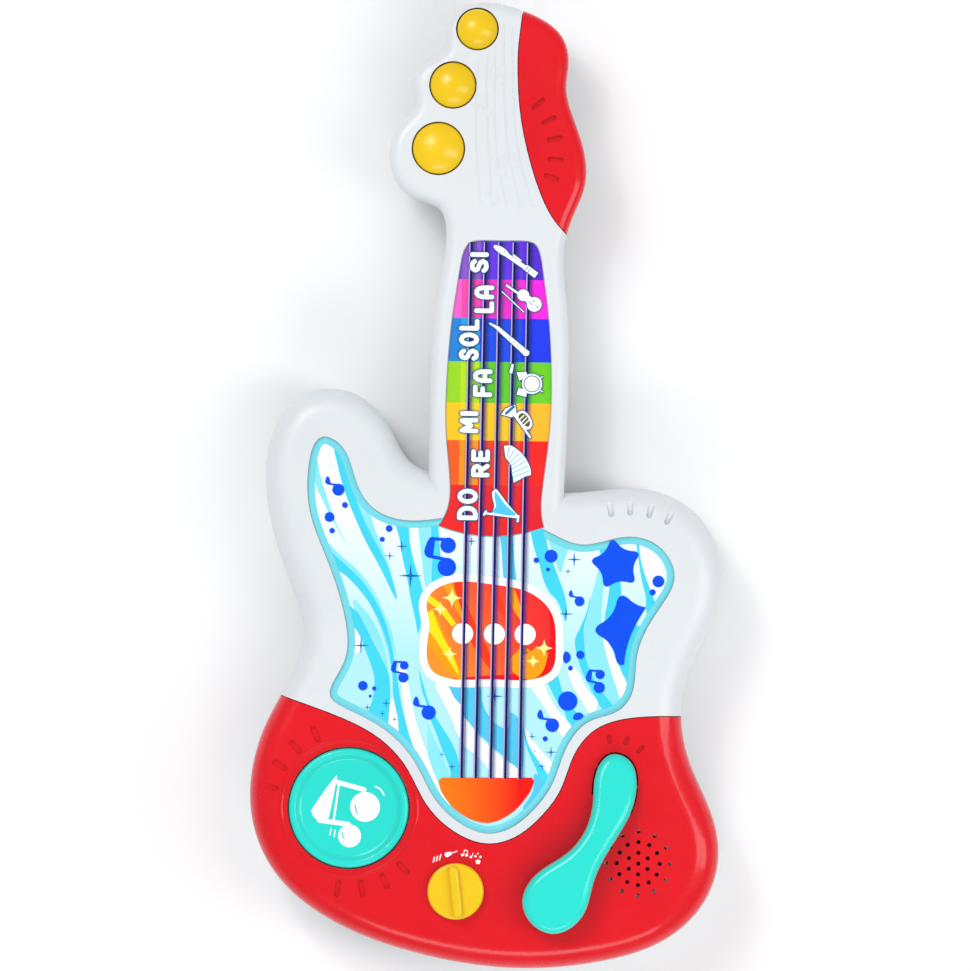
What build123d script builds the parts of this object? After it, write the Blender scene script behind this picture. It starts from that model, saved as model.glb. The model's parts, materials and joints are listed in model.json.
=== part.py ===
"""Toy electric guitar, lying on its back: +Y runs along the neck to the head, +Z out of the face."""

import os
from math import cos, radians, sin

from build123d import *

os.makedirs("parts", exist_ok=True)

# ---- levels, from the back of the body (0) to the face ----
FLOOR = 2.6  # inside of the back wall
NECK_BACK = 15.0  # back of the neck and head
NECK_FLOOR = 17.6
SPLIT = 24.0  # where front and rear mouldings meet
SEAM = 0.2  # half of the shadow gap between two mouldings
CEILING = 41.6  # inside of the front wall
POCKET = 44.0  # floor of the recess that holds the printed films
FILM_TOP = 44.4
FACE = 46.0  # crest of the white rim
HEAD_SEAT = 14.0  # underside of the body screws' heads
NECK_SEAT = 18.0
BOARD = 26.0  # underside of the main board
BOARD_T = 1.6
BOARD_TOP = BOARD + BOARD_T

# ---- walls, rounds and fits ----
WALL = 2.6
NECK_WALL = 2.4
BODY_ROUND = 12.0
BACK_ROUND = 10.0
NECK_ROUND = 5.5
INNER_ROUND = 8.0
BUTTON_GAP = 0.7
RUNNING = 0.05

# ---- places ----
NECK_X = 3.5
DRUM = (-63.1, -150.9)
DRUM_R = 27.8
KNOB = (-12.8, -188.8)
KNOB_R = 13.1
SPEAKER = (71.9, -174.7)
LEVER = (60.6, -133.8)  # over the lever's hinge pin
LEVER_LEAN = 243.5  # degrees from +X to the lever's arm
WELL_END = 13.0  # lower end of the lever's opening, along the arm
PIN_Z = 39.0
PEGS = {"upper": (-8.8, 212.2, 9.3), "middle": (-19.8, 186.0, 10.4), "lower": (-26.1, 156.4, 11.8)}
PEG_BOARD = 27.0
LIGHTS_X = (-11.4, 3.2, 17.8)
LIGHTS_Y = -69.0
PADS_Y = (104.5, 86.5, 67.5, 48.0, 29.5, 10.0, -11.0)
BATTERY_CENTRE = (2.0, -66.0)
DOOR_CENTRE = (2.0, -70.0)
DOOR_SCREW = (2.0, -99.5)
BATTERY_R = 7.25
BATTERY_L = 50.5
BATTERY_PITCH = 15.2
BATTERY_Z = 10.4
SLIDER = (3.5, -18.0)
SWITCH_PINS = [(SLIDER[0] - 12.5, SLIDER[1]), (SLIDER[0] + 12.5, SLIDER[1])]

CASE_SCREWS = [(-86, 16), (-69, -76), (92, -41), (76, -91)]
COVER_SCREWS = [(-89.5, -122), (-42, -199), (25, -209), (88, -192.5), (81.5, -131)]
NECK_SCREWS = [(-18.5, 35), (24.5, 92), (4, 194)]
TRIM_SCREWS = [(27.5, 150), (22, 200)]
BOARD_SCREWS = [(-24, -160), (44, -137), (-72, -184), (38, -165)]
CLAMP_SCREWS = [(SPEAKER[0] + 16.5, SPEAKER[1] + 16.5), (SPEAKER[0] - 16.5, SPEAKER[1] - 16.5)]
LIGHT_SCREWS = [(-33, LIGHTS_Y), (39, LIGHTS_Y)]
PEG_SCREWS = [(-33, 171.5), (-4, 172), (-4.2, 198)]
BOSS_R = 3.8
POST_R = 4.6
PILOT_R = 1.5
LIGHT_BOARD_TOP = 37.6
NECK_BOARD = 39.8  # underside of the touch board in the neck
STAKES = [(-7, -14), (14, -14), (-7, 101), (14, 101)]
CLAMP_TOP = 40.0
LUGS = (13.9, -11.4)  # along the pin, from the lever's centre line
LUG_T = 3.0
PIN_HOLE_R = 1.5
PIN_R = 1.5
KNOB_HOLE_R = 4.3
GRILLE_HOLE_R = 0.95
SHANK_R = 1.45
HEAD_R = 2.8


def finish(piece, name):
    """Names a finished piece and writes its STEP file."""
    piece.part.label = name
    export_step(piece.part, f"parts/{name}.step")


def discs(places, level, radius, hole=0.0):
    """Round discs or rings at a level, as a sketch."""
    with BuildSketch(Plane.XY.offset(level)) as sketch:
        with Locations(*places):
            Circle(radius)
            if hole:
                Circle(hole, mode=Mode.SUBTRACT)
    return sketch.sketch


def grown(outline, amount, level):
    """An outline moved outwards by an amount (inwards when negative) and redrawn with splines at a level."""
    with BuildSketch() as moved:
        add(outline.sketch)
        offset(amount=amount)
    with BuildSketch(Plane.XY.offset(level)) as sketch:
        with BuildLine():
            for edge in moved.edges():
                count = max(3, round(edge.length / 4))
                stops = [edge @ (i / count) for i in range(count + 1)]
                if edge.geom_type != GeomType.OFFSET:
                    add(edge)
                elif edge.is_closed:
                    Spline(*stops[:-1], periodic=True)
                else:
                    Spline(*stops)
        make_face()
    return sketch.sketch


def groove_ring(centre, radius, angles, length, width, depth=1.7):
    """Short slots pointing away from a centre, as a sketch at the groove's floor."""
    with BuildSketch(Plane.XY.offset(FACE - depth)) as sketch:
        with Locations(centre):
            for angle in angles:
                with PolarLocations(radius, 1, start_angle=angle):
                    SlotOverall(length, width)
    return sketch.sketch


def screws(places, seat, tip, head_r=HEAD_R, shank_r=SHANK_R, head_t=2.0):
    """Pan-head screws that point up, their heads just under the level seat."""
    with BuildPart() as group:
        extrude(discs(places, seat - head_t, head_r), amount=head_t)
        chamfer(group.edges().group_by(Axis.Z)[0], 0.5)
        extrude(discs(places, seat, shank_r), amount=tip - seat)
        with BuildSketch(Plane.XY.offset(seat - head_t)):
            with Locations(*places):
                Rectangle(head_r, 0.5)
                Rectangle(0.5, head_r)
        extrude(amount=0.7, mode=Mode.SUBTRACT)
    return group.part


def turned(x, y, *points):
    """A solid of revolution about the upright line through x, y; each point is (radius, level)."""
    with BuildPart() as piece:
        with BuildSketch(Plane(origin=(x, y, 0), x_dir=(1, 0, 0), z_dir=(0, -1, 0))):
            with BuildLine():
                Polyline(*points, close=True)
            make_face()
        revolve(axis=Axis((x, y, 0), (0, 0, 1)))
    return piece.part


def domed(x, y, radius, base, shoulder, crown):
    """An upright cylinder with a part-spherical top."""
    sphere = (radius**2 + (crown - shoulder) ** 2) / (2 * (crown - shoulder))
    half = radius * 0.6
    with BuildPart() as piece:
        with BuildSketch(Plane(origin=(x, y, 0), x_dir=(1, 0, 0), z_dir=(0, -1, 0))):
            with BuildLine():
                Polyline((0, crown), (0, base), (radius, base), (radius, shoulder))
                middle = (half, crown - sphere + (sphere**2 - half**2) ** 0.5)
                ThreePointArc((radius, shoulder), middle, (0, crown))
            make_face()
        revolve(axis=Axis((x, y, 0), (0, 0, 1)))
        fillet(piece.edges().filter_by(lambda e: abs(e.center().Z - shoulder) < 0.01), 1.4)
    return piece.part


def dome(x, y, base, top, radius):
    """A silicone key dome: a wide foot, a thin cone and a solid cap."""
    return turned(
        x, y, (radius, base), (radius, base + 1.0), (radius - 1.6, base + 1.5), (radius - 3.4, top - 2.2),
        (radius - 3.4, top), (0, top), (0, top - 1.6), (radius - 4.4, top - 2.4),
        (radius - 2.5, base + 1.2), (radius - 2.5, base),
    )


def along_y(x, y, z, radius, length):
    """A cylinder that lies along Y, centred on the point."""
    with BuildPart() as piece:
        with BuildSketch(Plane(origin=(x, y, z), x_dir=(1, 0, 0), z_dir=(0, 1, 0))):
            Circle(radius)
        extrude(amount=length / 2, both=True)
    return piece.part


def ribbon(x, width, *points):
    """A flat flexible cable; the points are (y, z) along its middle."""
    with BuildPart() as piece:
        with BuildSketch(Plane(origin=(x, 0, 0), x_dir=(0, 1, 0), z_dir=(1, 0, 0))):
            with BuildLine() as path:
                FilletPolyline(*points, radius=3.0)
            trace(path.line, line_width=0.8)
        extrude(amount=width / 2, both=True)
    return piece.part


def wire(*points, radius=0.6):
    """A round insulated wire along straight runs joined by arcs."""
    with BuildPart() as lead:
        with BuildLine():
            run = FilletPolyline(*points, radius=3.0)
        with BuildSketch(Plane(origin=run @ 0, z_dir=run % 0)):
            Circle(radius)
        sweep(path=run)
    return lead.part


# ======================= outlines =======================
with BuildSketch() as body_outline:
    with BuildLine():
        Spline(
            (-74.5, 44.0), (-57.0, 38.0), (-46.5, 26.0), (-38.5, 12.0), (-27.0, 5.5), (5.0, 2.0),
            (36.0, -2.8), (67.5, -0.3), (90.0, -6.5), (104.0, -21.5), (108.9, -41.0), (104.5, -64.0),
            (94.5, -86.0), (91.2, -106.0), (96.0, -129.0), (106.5, -153.0), (109.6, -170.0),
            (104.0, -191.5), (85.5, -210.5), (55.0, -221.3), (15.0, -225.0), (-30.0, -218.8),
            (-70.0, -204.3), (-97.0, -182.5), (-108.0, -159.0), (-109.0, -136.0), (-102.5, -112.5),
            (-91.5, -91.0), (-85.3, -70.0), (-91.5, -48.0), (-100.5, -23.0), (-104.3, 1.0),
            (-101.0, 24.0), (-90.5, 39.0),
            periodic=True,
        )
    make_face()

with BuildSketch() as neck_outline:
    with BuildLine():
        neck_edge = Spline(
            (-27.0, -20.0), (-28.6, 15.0), (-28.4, 50.0), (-25.5, 88.0), (-21.8, 116.0), (-25.0, 128.6),
            (-38.0, 134.3), (-47.0, 144.0), (-48.8, 156.0), (-43.8, 167.8), (-37.2, 176.0),
            (-38.2, 186.5), (-33.0, 196.5), (-24.2, 202.2), (-23.2, 212.0), (-16.5, 222.0),
            (-4.0, 225.0), (9.5, 222.3), (21.5, 217.4), (31.0, 209.0), (33.9, 198.0), (33.0, 186.0),
            (37.0, 170.5), (42.0, 155.0), (42.3, 140.0), (37.5, 127.0), (33.3, 112.0), (34.7, 86.0),
            (36.1, 50.0), (35.5, 15.0), (34.0, -20.0),
        )
        Line(neck_edge @ 1, neck_edge @ 0)
    make_face()

with BuildSketch() as red_region:  # everything below the lower cover's upper edge
    with BuildLine():
        red_edge = Spline(
            (-125.0, -90.0), (-95.1, -99.4), (-71.5, -107.4), (-50.0, -118.0), (-36.5, -132.0),
            (-27.5, -148.2), (-14.3, -161.0), (3.0, -166.6), (14.0, -163.6), (26.5, -153.5),
            (35.2, -141.3), (41.5, -124.5), (51.1, -112.8), (69.0, -107.0), (91.4, -106.3),
            (125.0, -107.0),
        )
        Polyline(red_edge @ 1, (125.0, -240.0), (-125.0, -240.0), red_edge @ 0)
    make_face()

with BuildSketch() as trim_region:  # everything right of the head trim's inner edge
    with BuildLine():
        trim_edge = Spline(
            (12.0, 232.0), (12.0, 219.0), (10.6, 206.0), (10.4, 190.0), (12.0, 172.0), (16.4, 152.0),
            (21.8, 136.0), (27.5, 125.0), (35.0, 116.6), (40.0, 112.5),
        )
        Polyline(trim_edge @ 1, (60.0, 112.5), (60.0, 232.0), trim_edge @ 0)
    make_face()

with BuildSketch() as neck_film_outline:
    with BuildLine():
        film_edge = Spline(
            (-23.6, -19.0), (-18.6, -8.0), (-18.4, 3.0), (-20.3, 22.0), (-20.5, 50.0), (-18.4, 78.0),
            (-15.3, 100.0), (-13.4, 109.0), (-11.4, 112.4), (-7.5, 113.7), (0.0, 113.9), (8.0, 113.9),
            (15.5, 113.8), (19.6, 112.4), (21.6, 109.0), (23.4, 100.0), (25.2, 88.0), (28.0, 55.0),
            (27.8, 28.0), (24.8, 0.0), (24.2, -10.0), (25.6, -19.0),
        )
        ThreePointArc(film_edge @ 1, (3.0, -23.6), film_edge @ 0)
    make_face()

with BuildSketch() as body_film_outline:
    with BuildLine():
        Spline(
            (-75.0, 21.0), (-67.5, 15.0), (-62.0, 0.5), (-53.3, -12.0), (-40.0, -16.8), (-10.0, -14.0),
            (25.0, -20.0), (43.0, -27.0), (65.2, -23.0), (80.5, -28.5), (86.5, -41.0), (80.0, -55.5),
            (69.5, -79.0), (67.0, -97.0), (62.0, -103.2), (48.4, -108.6), (37.1, -122.1),
            (30.8, -139.0), (22.9, -150.1), (12.0, -159.0), (2.5, -161.6), (-11.7, -156.7),
            (-23.5, -145.2), (-32.5, -129.0), (-47.1, -113.9), (-64.0, -105.0), (-72.0, -99.5),
            (-66.5, -84.0), (-65.0, -68.0), (-77.0, -30.0), (-84.2, 5.0),
            periodic=True,
        )
    make_face()
    add(neck_film_outline.sketch, mode=Mode.SUBTRACT)

with BuildSketch() as recess_outline:
    add(body_film_outline.sketch)
    add(neck_film_outline.sketch)

with BuildSketch() as window_outline:
    with BuildLine():
        window_edge = Spline(
            (-28.0, -60.0), (-26.5, -50.5), (-18.0, -45.6), (2.0, -45.8), (20.0, -49.6), (29.5, -58.0),
            (32.2, -74.0), (30.0, -86.0), (21.0, -90.0), (2.0, -90.2), (-17.0, -90.2),
            (-25.5, -86.5), (-28.0, -74.0),
            periodic=True,
        )
    make_face()

with BuildSketch() as lever_outline:
    with BuildLine():
        Spline(
            (61.6, -123.9), (68.2, -128.0), (70.6, -139.0), (68.5, -149.5), (57.4, -169.5),
            (50.8, -184.5), (47.5, -196.5), (41.5, -204.0), (33.0, -207.3), (22.8, -203.0),
            (18.2, -192.5), (24.5, -180.0), (38.0, -170.5), (47.3, -158.5), (50.4, -144.5),
            (51.8, -132.0),
            periodic=True,
        )
    make_face()

# ======================= blanks and hollows =======================
with BuildPart() as body_front:
    with BuildSketch(Plane.XY.offset(SPLIT + SEAM)):
        add(body_outline.sketch)
    extrude(amount=FACE - SPLIT - SEAM)
    fillet(body_front.edges().group_by(Axis.Z)[-1], BODY_ROUND)

with BuildPart() as neck_front:
    with BuildSketch(Plane.XY.offset(SPLIT + SEAM)):
        add(neck_outline.sketch)
    extrude(amount=FACE - SPLIT - SEAM)
    fillet(neck_front.faces().sort_by(Axis.Z)[-1].edges().filter_by(GeomType.BSPLINE), NECK_ROUND)


with BuildPart() as body_hollow:
    extrude(grown(body_outline, -WALL, FLOOR), amount=CEILING - FLOOR)
    for level in (0, -1):
        fillet(body_hollow.edges().group_by(Axis.Z)[level], INNER_ROUND)

with BuildPart() as neck_hollow:
    extrude(grown(neck_outline, -NECK_WALL, NECK_FLOOR), amount=CEILING - NECK_FLOOR)
    for level in (0, -1):
        rim = neck_hollow.edges().group_by(Axis.Z)[level]
        fillet(rim.filter_by(GeomType.LINE, reverse=True), 3.0)

with BuildPart() as body_back:
    with BuildSketch():
        add(body_outline.sketch)
    extrude(amount=SPLIT - SEAM)
    fillet(body_back.edges().group_by(Axis.Z)[0], BACK_ROUND)

with BuildPart() as neck_back:
    with BuildSketch(Plane.XY.offset(NECK_BACK)):
        add(neck_outline.sketch)
    extrude(amount=SPLIT - SEAM - NECK_BACK)
    fillet(neck_back.faces().sort_by(Axis.Z)[0].edges().filter_by(GeomType.BSPLINE), NECK_ROUND)

with BuildPart() as lever_well:  # the opening that the lever's upper end sits in
    with BuildSketch(Plane.XY.offset(SPLIT)):
        add(grown(lever_outline, BUTTON_GAP, 0))
        with Locations(LEVER):
            Rectangle(2 * WELL_END, 60, rotation=LEVER_LEAN, mode=Mode.INTERSECT)
    extrude(amount=FACE)

arm_dir = Vector(cos(radians(LEVER_LEAN)), sin(radians(LEVER_LEAN)), 0)
pin_dir = arm_dir.rotate(Axis.Z, 90)
arm_side = Plane(origin=(*LEVER, 0), x_dir=arm_dir, z_dir=-pin_dir)  # X along the arm, Y up
lever_floor = Plane(origin=(*LEVER, 0), x_dir=arm_dir, z_dir=(0, 0, 1))  # X along the arm, Y along the pin

# ======================= face mouldings =======================
with BuildPart() as front_shell:
    add(body_front.part)
    add(neck_front.part)
    extrude(grown(red_region, SEAM, SPLIT), amount=FACE, mode=Mode.SUBTRACT)
    extrude(grown(trim_region, SEAM, SPLIT), amount=FACE, mode=Mode.SUBTRACT)
    extrude(grown(recess_outline, 0.3, POCKET), amount=FACE, mode=Mode.SUBTRACT)
    add(body_hollow.part, mode=Mode.SUBTRACT)
    add(neck_hollow.part, mode=Mode.SUBTRACT)
    low = SPLIT + SEAM
    extrude(discs(CASE_SCREWS + NECK_SCREWS, low, BOSS_R, PILOT_R), amount=CEILING + 0.6 - low)
    extrude(discs(LIGHT_SCREWS, LIGHT_BOARD_TOP, 2.8, 1.0), amount=CEILING + 0.6 - LIGHT_BOARD_TOP)
    extrude(discs(PEG_SCREWS, PEG_BOARD + BOARD_T, 2.8, 1.0), amount=CEILING + 0.6 - PEG_BOARD - BOARD_T)
    extrude(discs(STAKES, NECK_BOARD - 0.8, 1.2), amount=CEILING + 0.6 - NECK_BOARD + 0.8)
    extrude(groove_ring((65.0, -54.0), 45.0, (65, 77, 89, 101), 8.0, 2.8), amount=5, mode=Mode.SUBTRACT)
    with BuildSketch(Plane.XY.offset(SPLIT)):
        add(window_outline.sketch)
        with Locations(*[(NECK_X, y) for y in PADS_Y]):
            Circle(6.2)
        for x, y, radius in PEGS.values():
            with Locations((x, y)):
                Circle(radius + BUTTON_GAP)
    extrude(amount=FACE, mode=Mode.SUBTRACT)
finish(front_shell, "front_shell")

with BuildPart() as head_cover:
    add(neck_front.part)
    extrude(grown(trim_region, -SEAM, SPLIT), amount=FACE, mode=Mode.INTERSECT)
    add(neck_hollow.part, mode=Mode.SUBTRACT)
    extrude(discs(TRIM_SCREWS, SPLIT + SEAM, BOSS_R, PILOT_R), amount=CEILING + 0.6 - SPLIT - SEAM)
    extrude(groove_ring((-6.2, 155.0), 34.8, (-19, -5, 11, 26, 41), 7.5, 2.4), amount=5, mode=Mode.SUBTRACT)
finish(head_cover, "head_cover")

with BuildPart() as lower_cover:
    add(body_front.part)
    extrude(grown(red_region, -SEAM, SPLIT), amount=FACE, mode=Mode.INTERSECT)
    add(body_hollow.part, mode=Mode.SUBTRACT)
    extrude(discs(COVER_SCREWS, SPLIT + SEAM, BOSS_R, PILOT_R), amount=CEILING + 0.6 - SPLIT - SEAM)
    extrude(discs(BOARD_SCREWS, BOARD_TOP, 2.8, 1.0), amount=CEILING + 0.6 - BOARD_TOP)
    extrude(discs(CLAMP_SCREWS, CLAMP_TOP, 2.8, 1.0), amount=CEILING + 0.6 - CLAMP_TOP)
    with BuildSketch(lever_floor.offset(PIN_Z - 5)):
        with Locations(*[(0, place) for place in LUGS]):
            Rectangle(8, LUG_T)
    extrude(amount=CEILING + 0.6 - PIN_Z + 5)
    with BuildSketch(arm_side.offset(-20)):
        with Locations((0, PIN_Z)):
            Circle(PIN_HOLE_R)
    extrude(amount=40, mode=Mode.SUBTRACT)
    add(lever_well.part, mode=Mode.SUBTRACT)
    low, mid, crest = FACE - 0.1, FACE + 0.15, FACE + 0.5
    add(turned(*DRUM, (30.7, low), (32.5, low), (32.5, mid), (31.9, crest), (31.3, crest), (30.7, mid)))
    extrude(discs([DRUM], SPLIT, DRUM_R + BUTTON_GAP), amount=FACE, mode=Mode.SUBTRACT)
    extrude(discs([KNOB], SPLIT, KNOB_HOLE_R), amount=FACE, mode=Mode.SUBTRACT)
    with BuildSketch(Plane.XY.offset(CEILING - 1)):
        with Locations(SPEAKER):
            Circle(GRILLE_HOLE_R)
            for ring, count in ((5.0, 6), (10.0, 12), (15.0, 12)):
                with PolarLocations(ring, count, start_angle=90):
                    Circle(GRILLE_HOLE_R)
    extrude(amount=FACE, mode=Mode.SUBTRACT)
    rays = (115, 132, 149, 166, 263, 280, 297, 313)
    extrude(groove_ring(DRUM, 37.7, rays, 8.0, 2.8), amount=5, mode=Mode.SUBTRACT)
    extrude(groove_ring(LEVER, 16.9, (47, 73, 100), 4.6, 2.2), amount=5, mode=Mode.SUBTRACT)
finish(lower_cover, "lower_cover")

# ======================= rear moulding, battery door =======================
with BuildPart() as rear_shell:
    add(body_back.part)
    add(neck_back.part)
    add(body_hollow.part, mode=Mode.SUBTRACT)
    add(neck_hollow.part, mode=Mode.SUBTRACT)
    meet = SPLIT + SEAM
    extrude(discs(CASE_SCREWS + COVER_SCREWS, FLOOR - 0.6, POST_R, 1.6), amount=meet - FLOOR + 0.6)
    extrude(discs(NECK_SCREWS + TRIM_SCREWS, NECK_FLOOR - 0.6, POST_R, 1.6), amount=meet - NECK_FLOOR + 0.6)
    extrude(discs(CASE_SCREWS + COVER_SCREWS, 0, 3.2), amount=HEAD_SEAT, mode=Mode.SUBTRACT)
    extrude(discs(NECK_SCREWS + TRIM_SCREWS, NECK_BACK, 3.2), amount=NECK_SEAT - NECK_BACK, mode=Mode.SUBTRACT)
    extrude(discs(SWITCH_PINS, FLOOR - 0.6, 2.2), amount=9.5 - FLOOR + 0.6)
    extrude(discs(SWITCH_PINS, 9.5, 1.2), amount=2.6)
    with BuildSketch():
        with Locations(DOOR_CENTRE):
            Rectangle(49, 68)
        with Locations(SLIDER):
            Rectangle(14, 6)
    extrude(amount=FLOOR, mode=Mode.SUBTRACT)
    with BuildSketch():
        with Locations(SLIDER):
            Rectangle(24, 12)
    extrude(amount=1.3, mode=Mode.SUBTRACT)
finish(rear_shell, "rear_shell")

with BuildPart() as battery_door:
    with BuildSketch(Plane.XY.offset(0.3)):
        with Locations(DOOR_CENTRE):
            RectangleRounded(48.4, 67.4, 1.0)
    extrude(amount=2.1)
    extrude(discs([DOOR_SCREW], 0.3, 2.9), amount=1.2, mode=Mode.SUBTRACT)
    extrude(discs([DOOR_SCREW], 0.3, 1.6), amount=2.1, mode=Mode.SUBTRACT)
    with BuildSketch(Plane.XY.offset(0.3)):
        with Locations((DOOR_CENTRE[0], DOOR_CENTRE[1] + 22)):
            with GridLocations(0, 3.2, 1, 5):
                SlotOverall(18, 1.4)
    extrude(amount=0.6, mode=Mode.SUBTRACT)
finish(battery_door, "battery_door")

with BuildPart() as battery_door_screw:
    add(screws([DOOR_SCREW], 1.5, 8.0, head_r=2.6, head_t=1.1))
finish(battery_door_screw, "battery_door_screw")

with BuildPart() as battery_box:
    with BuildSketch(Plane.XY.offset(FLOOR)):
        with Locations(DOOR_CENTRE):
            RectangleRounded(57, 77, 3.0)
    extrude(amount=1.4)
    with BuildSketch(Plane.XY.offset(FLOOR)):
        with Locations(BATTERY_CENTRE):
            RectangleRounded(49.6, 60.8, 2.0)
    extrude(amount=17.2)
    extrude(discs([DOOR_SCREW], FLOOR, 3.0), amount=6.4)
    with BuildSketch(Plane.XY.offset(FLOOR)):
        with Locations(BATTERY_CENTRE):
            Rectangle(46.4, 57.6)
    extrude(amount=15.7, mode=Mode.SUBTRACT)
    extrude(discs([DOOR_SCREW], FLOOR, PILOT_R), amount=5.8, mode=Mode.SUBTRACT)
finish(battery_box, "battery_box")

half_cavity = 57.6 / 2 - 0.5  # from the middle of the cavity to the face of a contact plate
with BuildPart() as battery_plates:
    for column in (-1, 0, 1):
        for end in (-1, 1):
            with BuildSketch(Plane.XY.offset(BATTERY_Z - 4.5)):
                middle = BATTERY_CENTRE[1] + end * (half_cavity + 0.25)
                with Locations((BATTERY_CENTRE[0] + column * BATTERY_PITCH, middle)):
                    Rectangle(9, 0.5)
            extrude(amount=9)
finish(battery_plates, "battery_plates")

with BuildPart() as battery_springs:
    for column, end in ((-1, -1), (0, 1), (1, -1)):
        start = (
            BATTERY_CENTRE[0] + column * BATTERY_PITCH, BATTERY_CENTRE[1] + end * (half_cavity - 0.5), BATTERY_Z,
        )
        with BuildLine():
            coil = Helix(pitch=1.75, height=5.2, radius=3.2, center=start, direction=(0, -end, 0))
        with BuildSketch(Plane(origin=coil @ 0, z_dir=coil % 0)):
            Circle(0.35)
        sweep(path=coil, is_frenet=True)
finish(battery_springs, "battery_springs")

for name, column, end in (("left", -1, 1), ("middle", 0, -1), ("right", 1, 1)):
    with BuildPart() as battery:
        x = BATTERY_CENTRE[0] + column * BATTERY_PITCH
        tip = BATTERY_CENTRE[1] + end * (half_cavity - 0.02)
        add(along_y(x, tip - end * (1 + BATTERY_L / 2 - 0.5), BATTERY_Z, BATTERY_R, BATTERY_L - 1))
        fillet(battery.edges(), 0.6)
        add(along_y(x, tip - end * 0.75, BATTERY_Z, 2.7, 1.5))
    finish(battery, f"battery_{name}")

with BuildPart() as power_slider:
    with BuildSketch(Plane.XY.offset(0.2)):
        with Locations((SLIDER[0] - 3, SLIDER[1])):
            Rectangle(5.5, 5.4)
    extrude(amount=5.8)
    with BuildSketch(Plane.XY.offset(FLOOR + 0.1)):
        with Locations((SLIDER[0] - 3, SLIDER[1])):
            Rectangle(9, 9.5)
    extrude(amount=1.3)
    with BuildSketch(Plane.XY.offset(0.2)):
        with Locations((SLIDER[0] - 3, SLIDER[1])):
            with GridLocations(1.7, 0, 3, 1):
                Rectangle(0.7, 5.4)
    extrude(amount=0.5, mode=Mode.SUBTRACT)
finish(power_slider, "power_slider")

with BuildPart() as power_switch:
    with BuildSketch(Plane.XY.offset(9.5)):
        with Locations(SLIDER):
            Rectangle(31, 8)
        with Locations(*SWITCH_PINS):
            Circle(1.3, mode=Mode.SUBTRACT)
    extrude(amount=1.2)
    with BuildSketch(Plane.XY.offset(6.3)):
        with Locations(SLIDER):
            Rectangle(18, 8)
    extrude(amount=7.0)
finish(power_switch, "power_switch")

# ======================= films and window =======================
with BuildPart() as body_label:
    with BuildSketch(Plane.XY.offset(POCKET)):
        add(body_film_outline.sketch)
        add(window_outline.sketch, mode=Mode.SUBTRACT)
    extrude(amount=FILM_TOP - POCKET)
finish(body_label, "body_label")

with BuildPart() as neck_label:
    extrude(grown(neck_film_outline, -0.15, POCKET), amount=FILM_TOP - POCKET)
finish(neck_label, "neck_label")

with BuildPart() as light_window:
    extrude(grown(window_outline, -0.15, CEILING), amount=FILM_TOP - CEILING)
    extrude(grown(window_outline, 1.5, CEILING - 1.4), amount=1.4)
finish(light_window, "light_window")

# ======================= buttons, knob, lever =======================
with BuildPart() as drum_button:
    rim = DRUM_R - 2.0
    add(turned(
        *DRUM, (0, 36.5), (4, 36.5), (4, 43.6), (rim, 43.6), (rim, 38.9), (DRUM_R + 2.2, 38.9),
        (DRUM_R + 2.2, 41.4), (DRUM_R, 41.4), (DRUM_R, 47.6), (25.0, 47.6), (22.4, 45.6), (0, 45.6),
    ))
    crests = drum_button.edges().filter_by(lambda e: abs(e.center().Z - 47.6) < 0.01).sort_by(SortBy.RADIUS)
    fillet(crests[-1], 1.6)
    fillet(crests[0], 1.2)
    dish = drum_button.edges().filter_by(lambda e: abs(e.center().Z - 45.6) < 0.01).sort_by(SortBy.RADIUS)
    fillet(dish[-1], 2.5)
finish(drum_button, "drum_button")

with BuildPart() as drum_spring:
    add(dome(*DRUM, BOARD_TOP, 36.5, 9.0))
finish(drum_spring, "drum_spring")

for name, (x, y, radius) in PEGS.items():
    with BuildPart() as peg_button:
        extrude(discs([(x, y)], 38.9, radius + 1.8), amount=2.3)
        extrude(grown(neck_outline, -4.8, 38.9), amount=2.3, mode=Mode.INTERSECT)
        add(domed(x, y, radius, 37.0, 45.8, 50.4))
    finish(peg_button, f"peg_button_{name}")
    with BuildPart() as peg_spring:
        add(dome(x, y, PEG_BOARD + BOARD_T, 37.0, 7.5))
    finish(peg_spring, f"peg_spring_{name}")

with BuildPart() as selector_knob:
    extrude(discs([KNOB], FACE + 0.4, KNOB_R), amount=4.0)
    fillet(selector_knob.edges().group_by(Axis.Z)[-1], 1.5)
    with BuildSketch(Plane.XY.offset(FACE + 2.0)):
        with Locations(Location((*KNOB, 0), (0, 0, 7))):
            RectangleRounded(4.6, 24.0, 2.2)
    extrude(amount=5.6)
    fillet(selector_knob.edges().group_by(Axis.Z)[-1], 1.4)
    extrude(discs([KNOB], 38.0, 3.95), amount=FACE + 0.4 - 38.0)
    extrude(discs([KNOB], 38.0, 3.0), amount=10.0, mode=Mode.SUBTRACT)
finish(selector_knob, "selector_knob")

with BuildPart() as selector_shaft:
    extrude(discs([KNOB], 29.0, 3.0), amount=19.0)
finish(selector_shaft, "selector_shaft")

with BuildPart() as selector_switch:
    with BuildSketch(Plane.XY.offset(BOARD_TOP)):
        with Locations(KNOB):
            RectangleRounded(13, 13, 1.0)
    extrude(amount=6.0)
    extrude(discs([KNOB], BOARD_TOP, 3.0 + RUNNING), amount=6.0, mode=Mode.SUBTRACT)
finish(selector_switch, "selector_switch")

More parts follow.
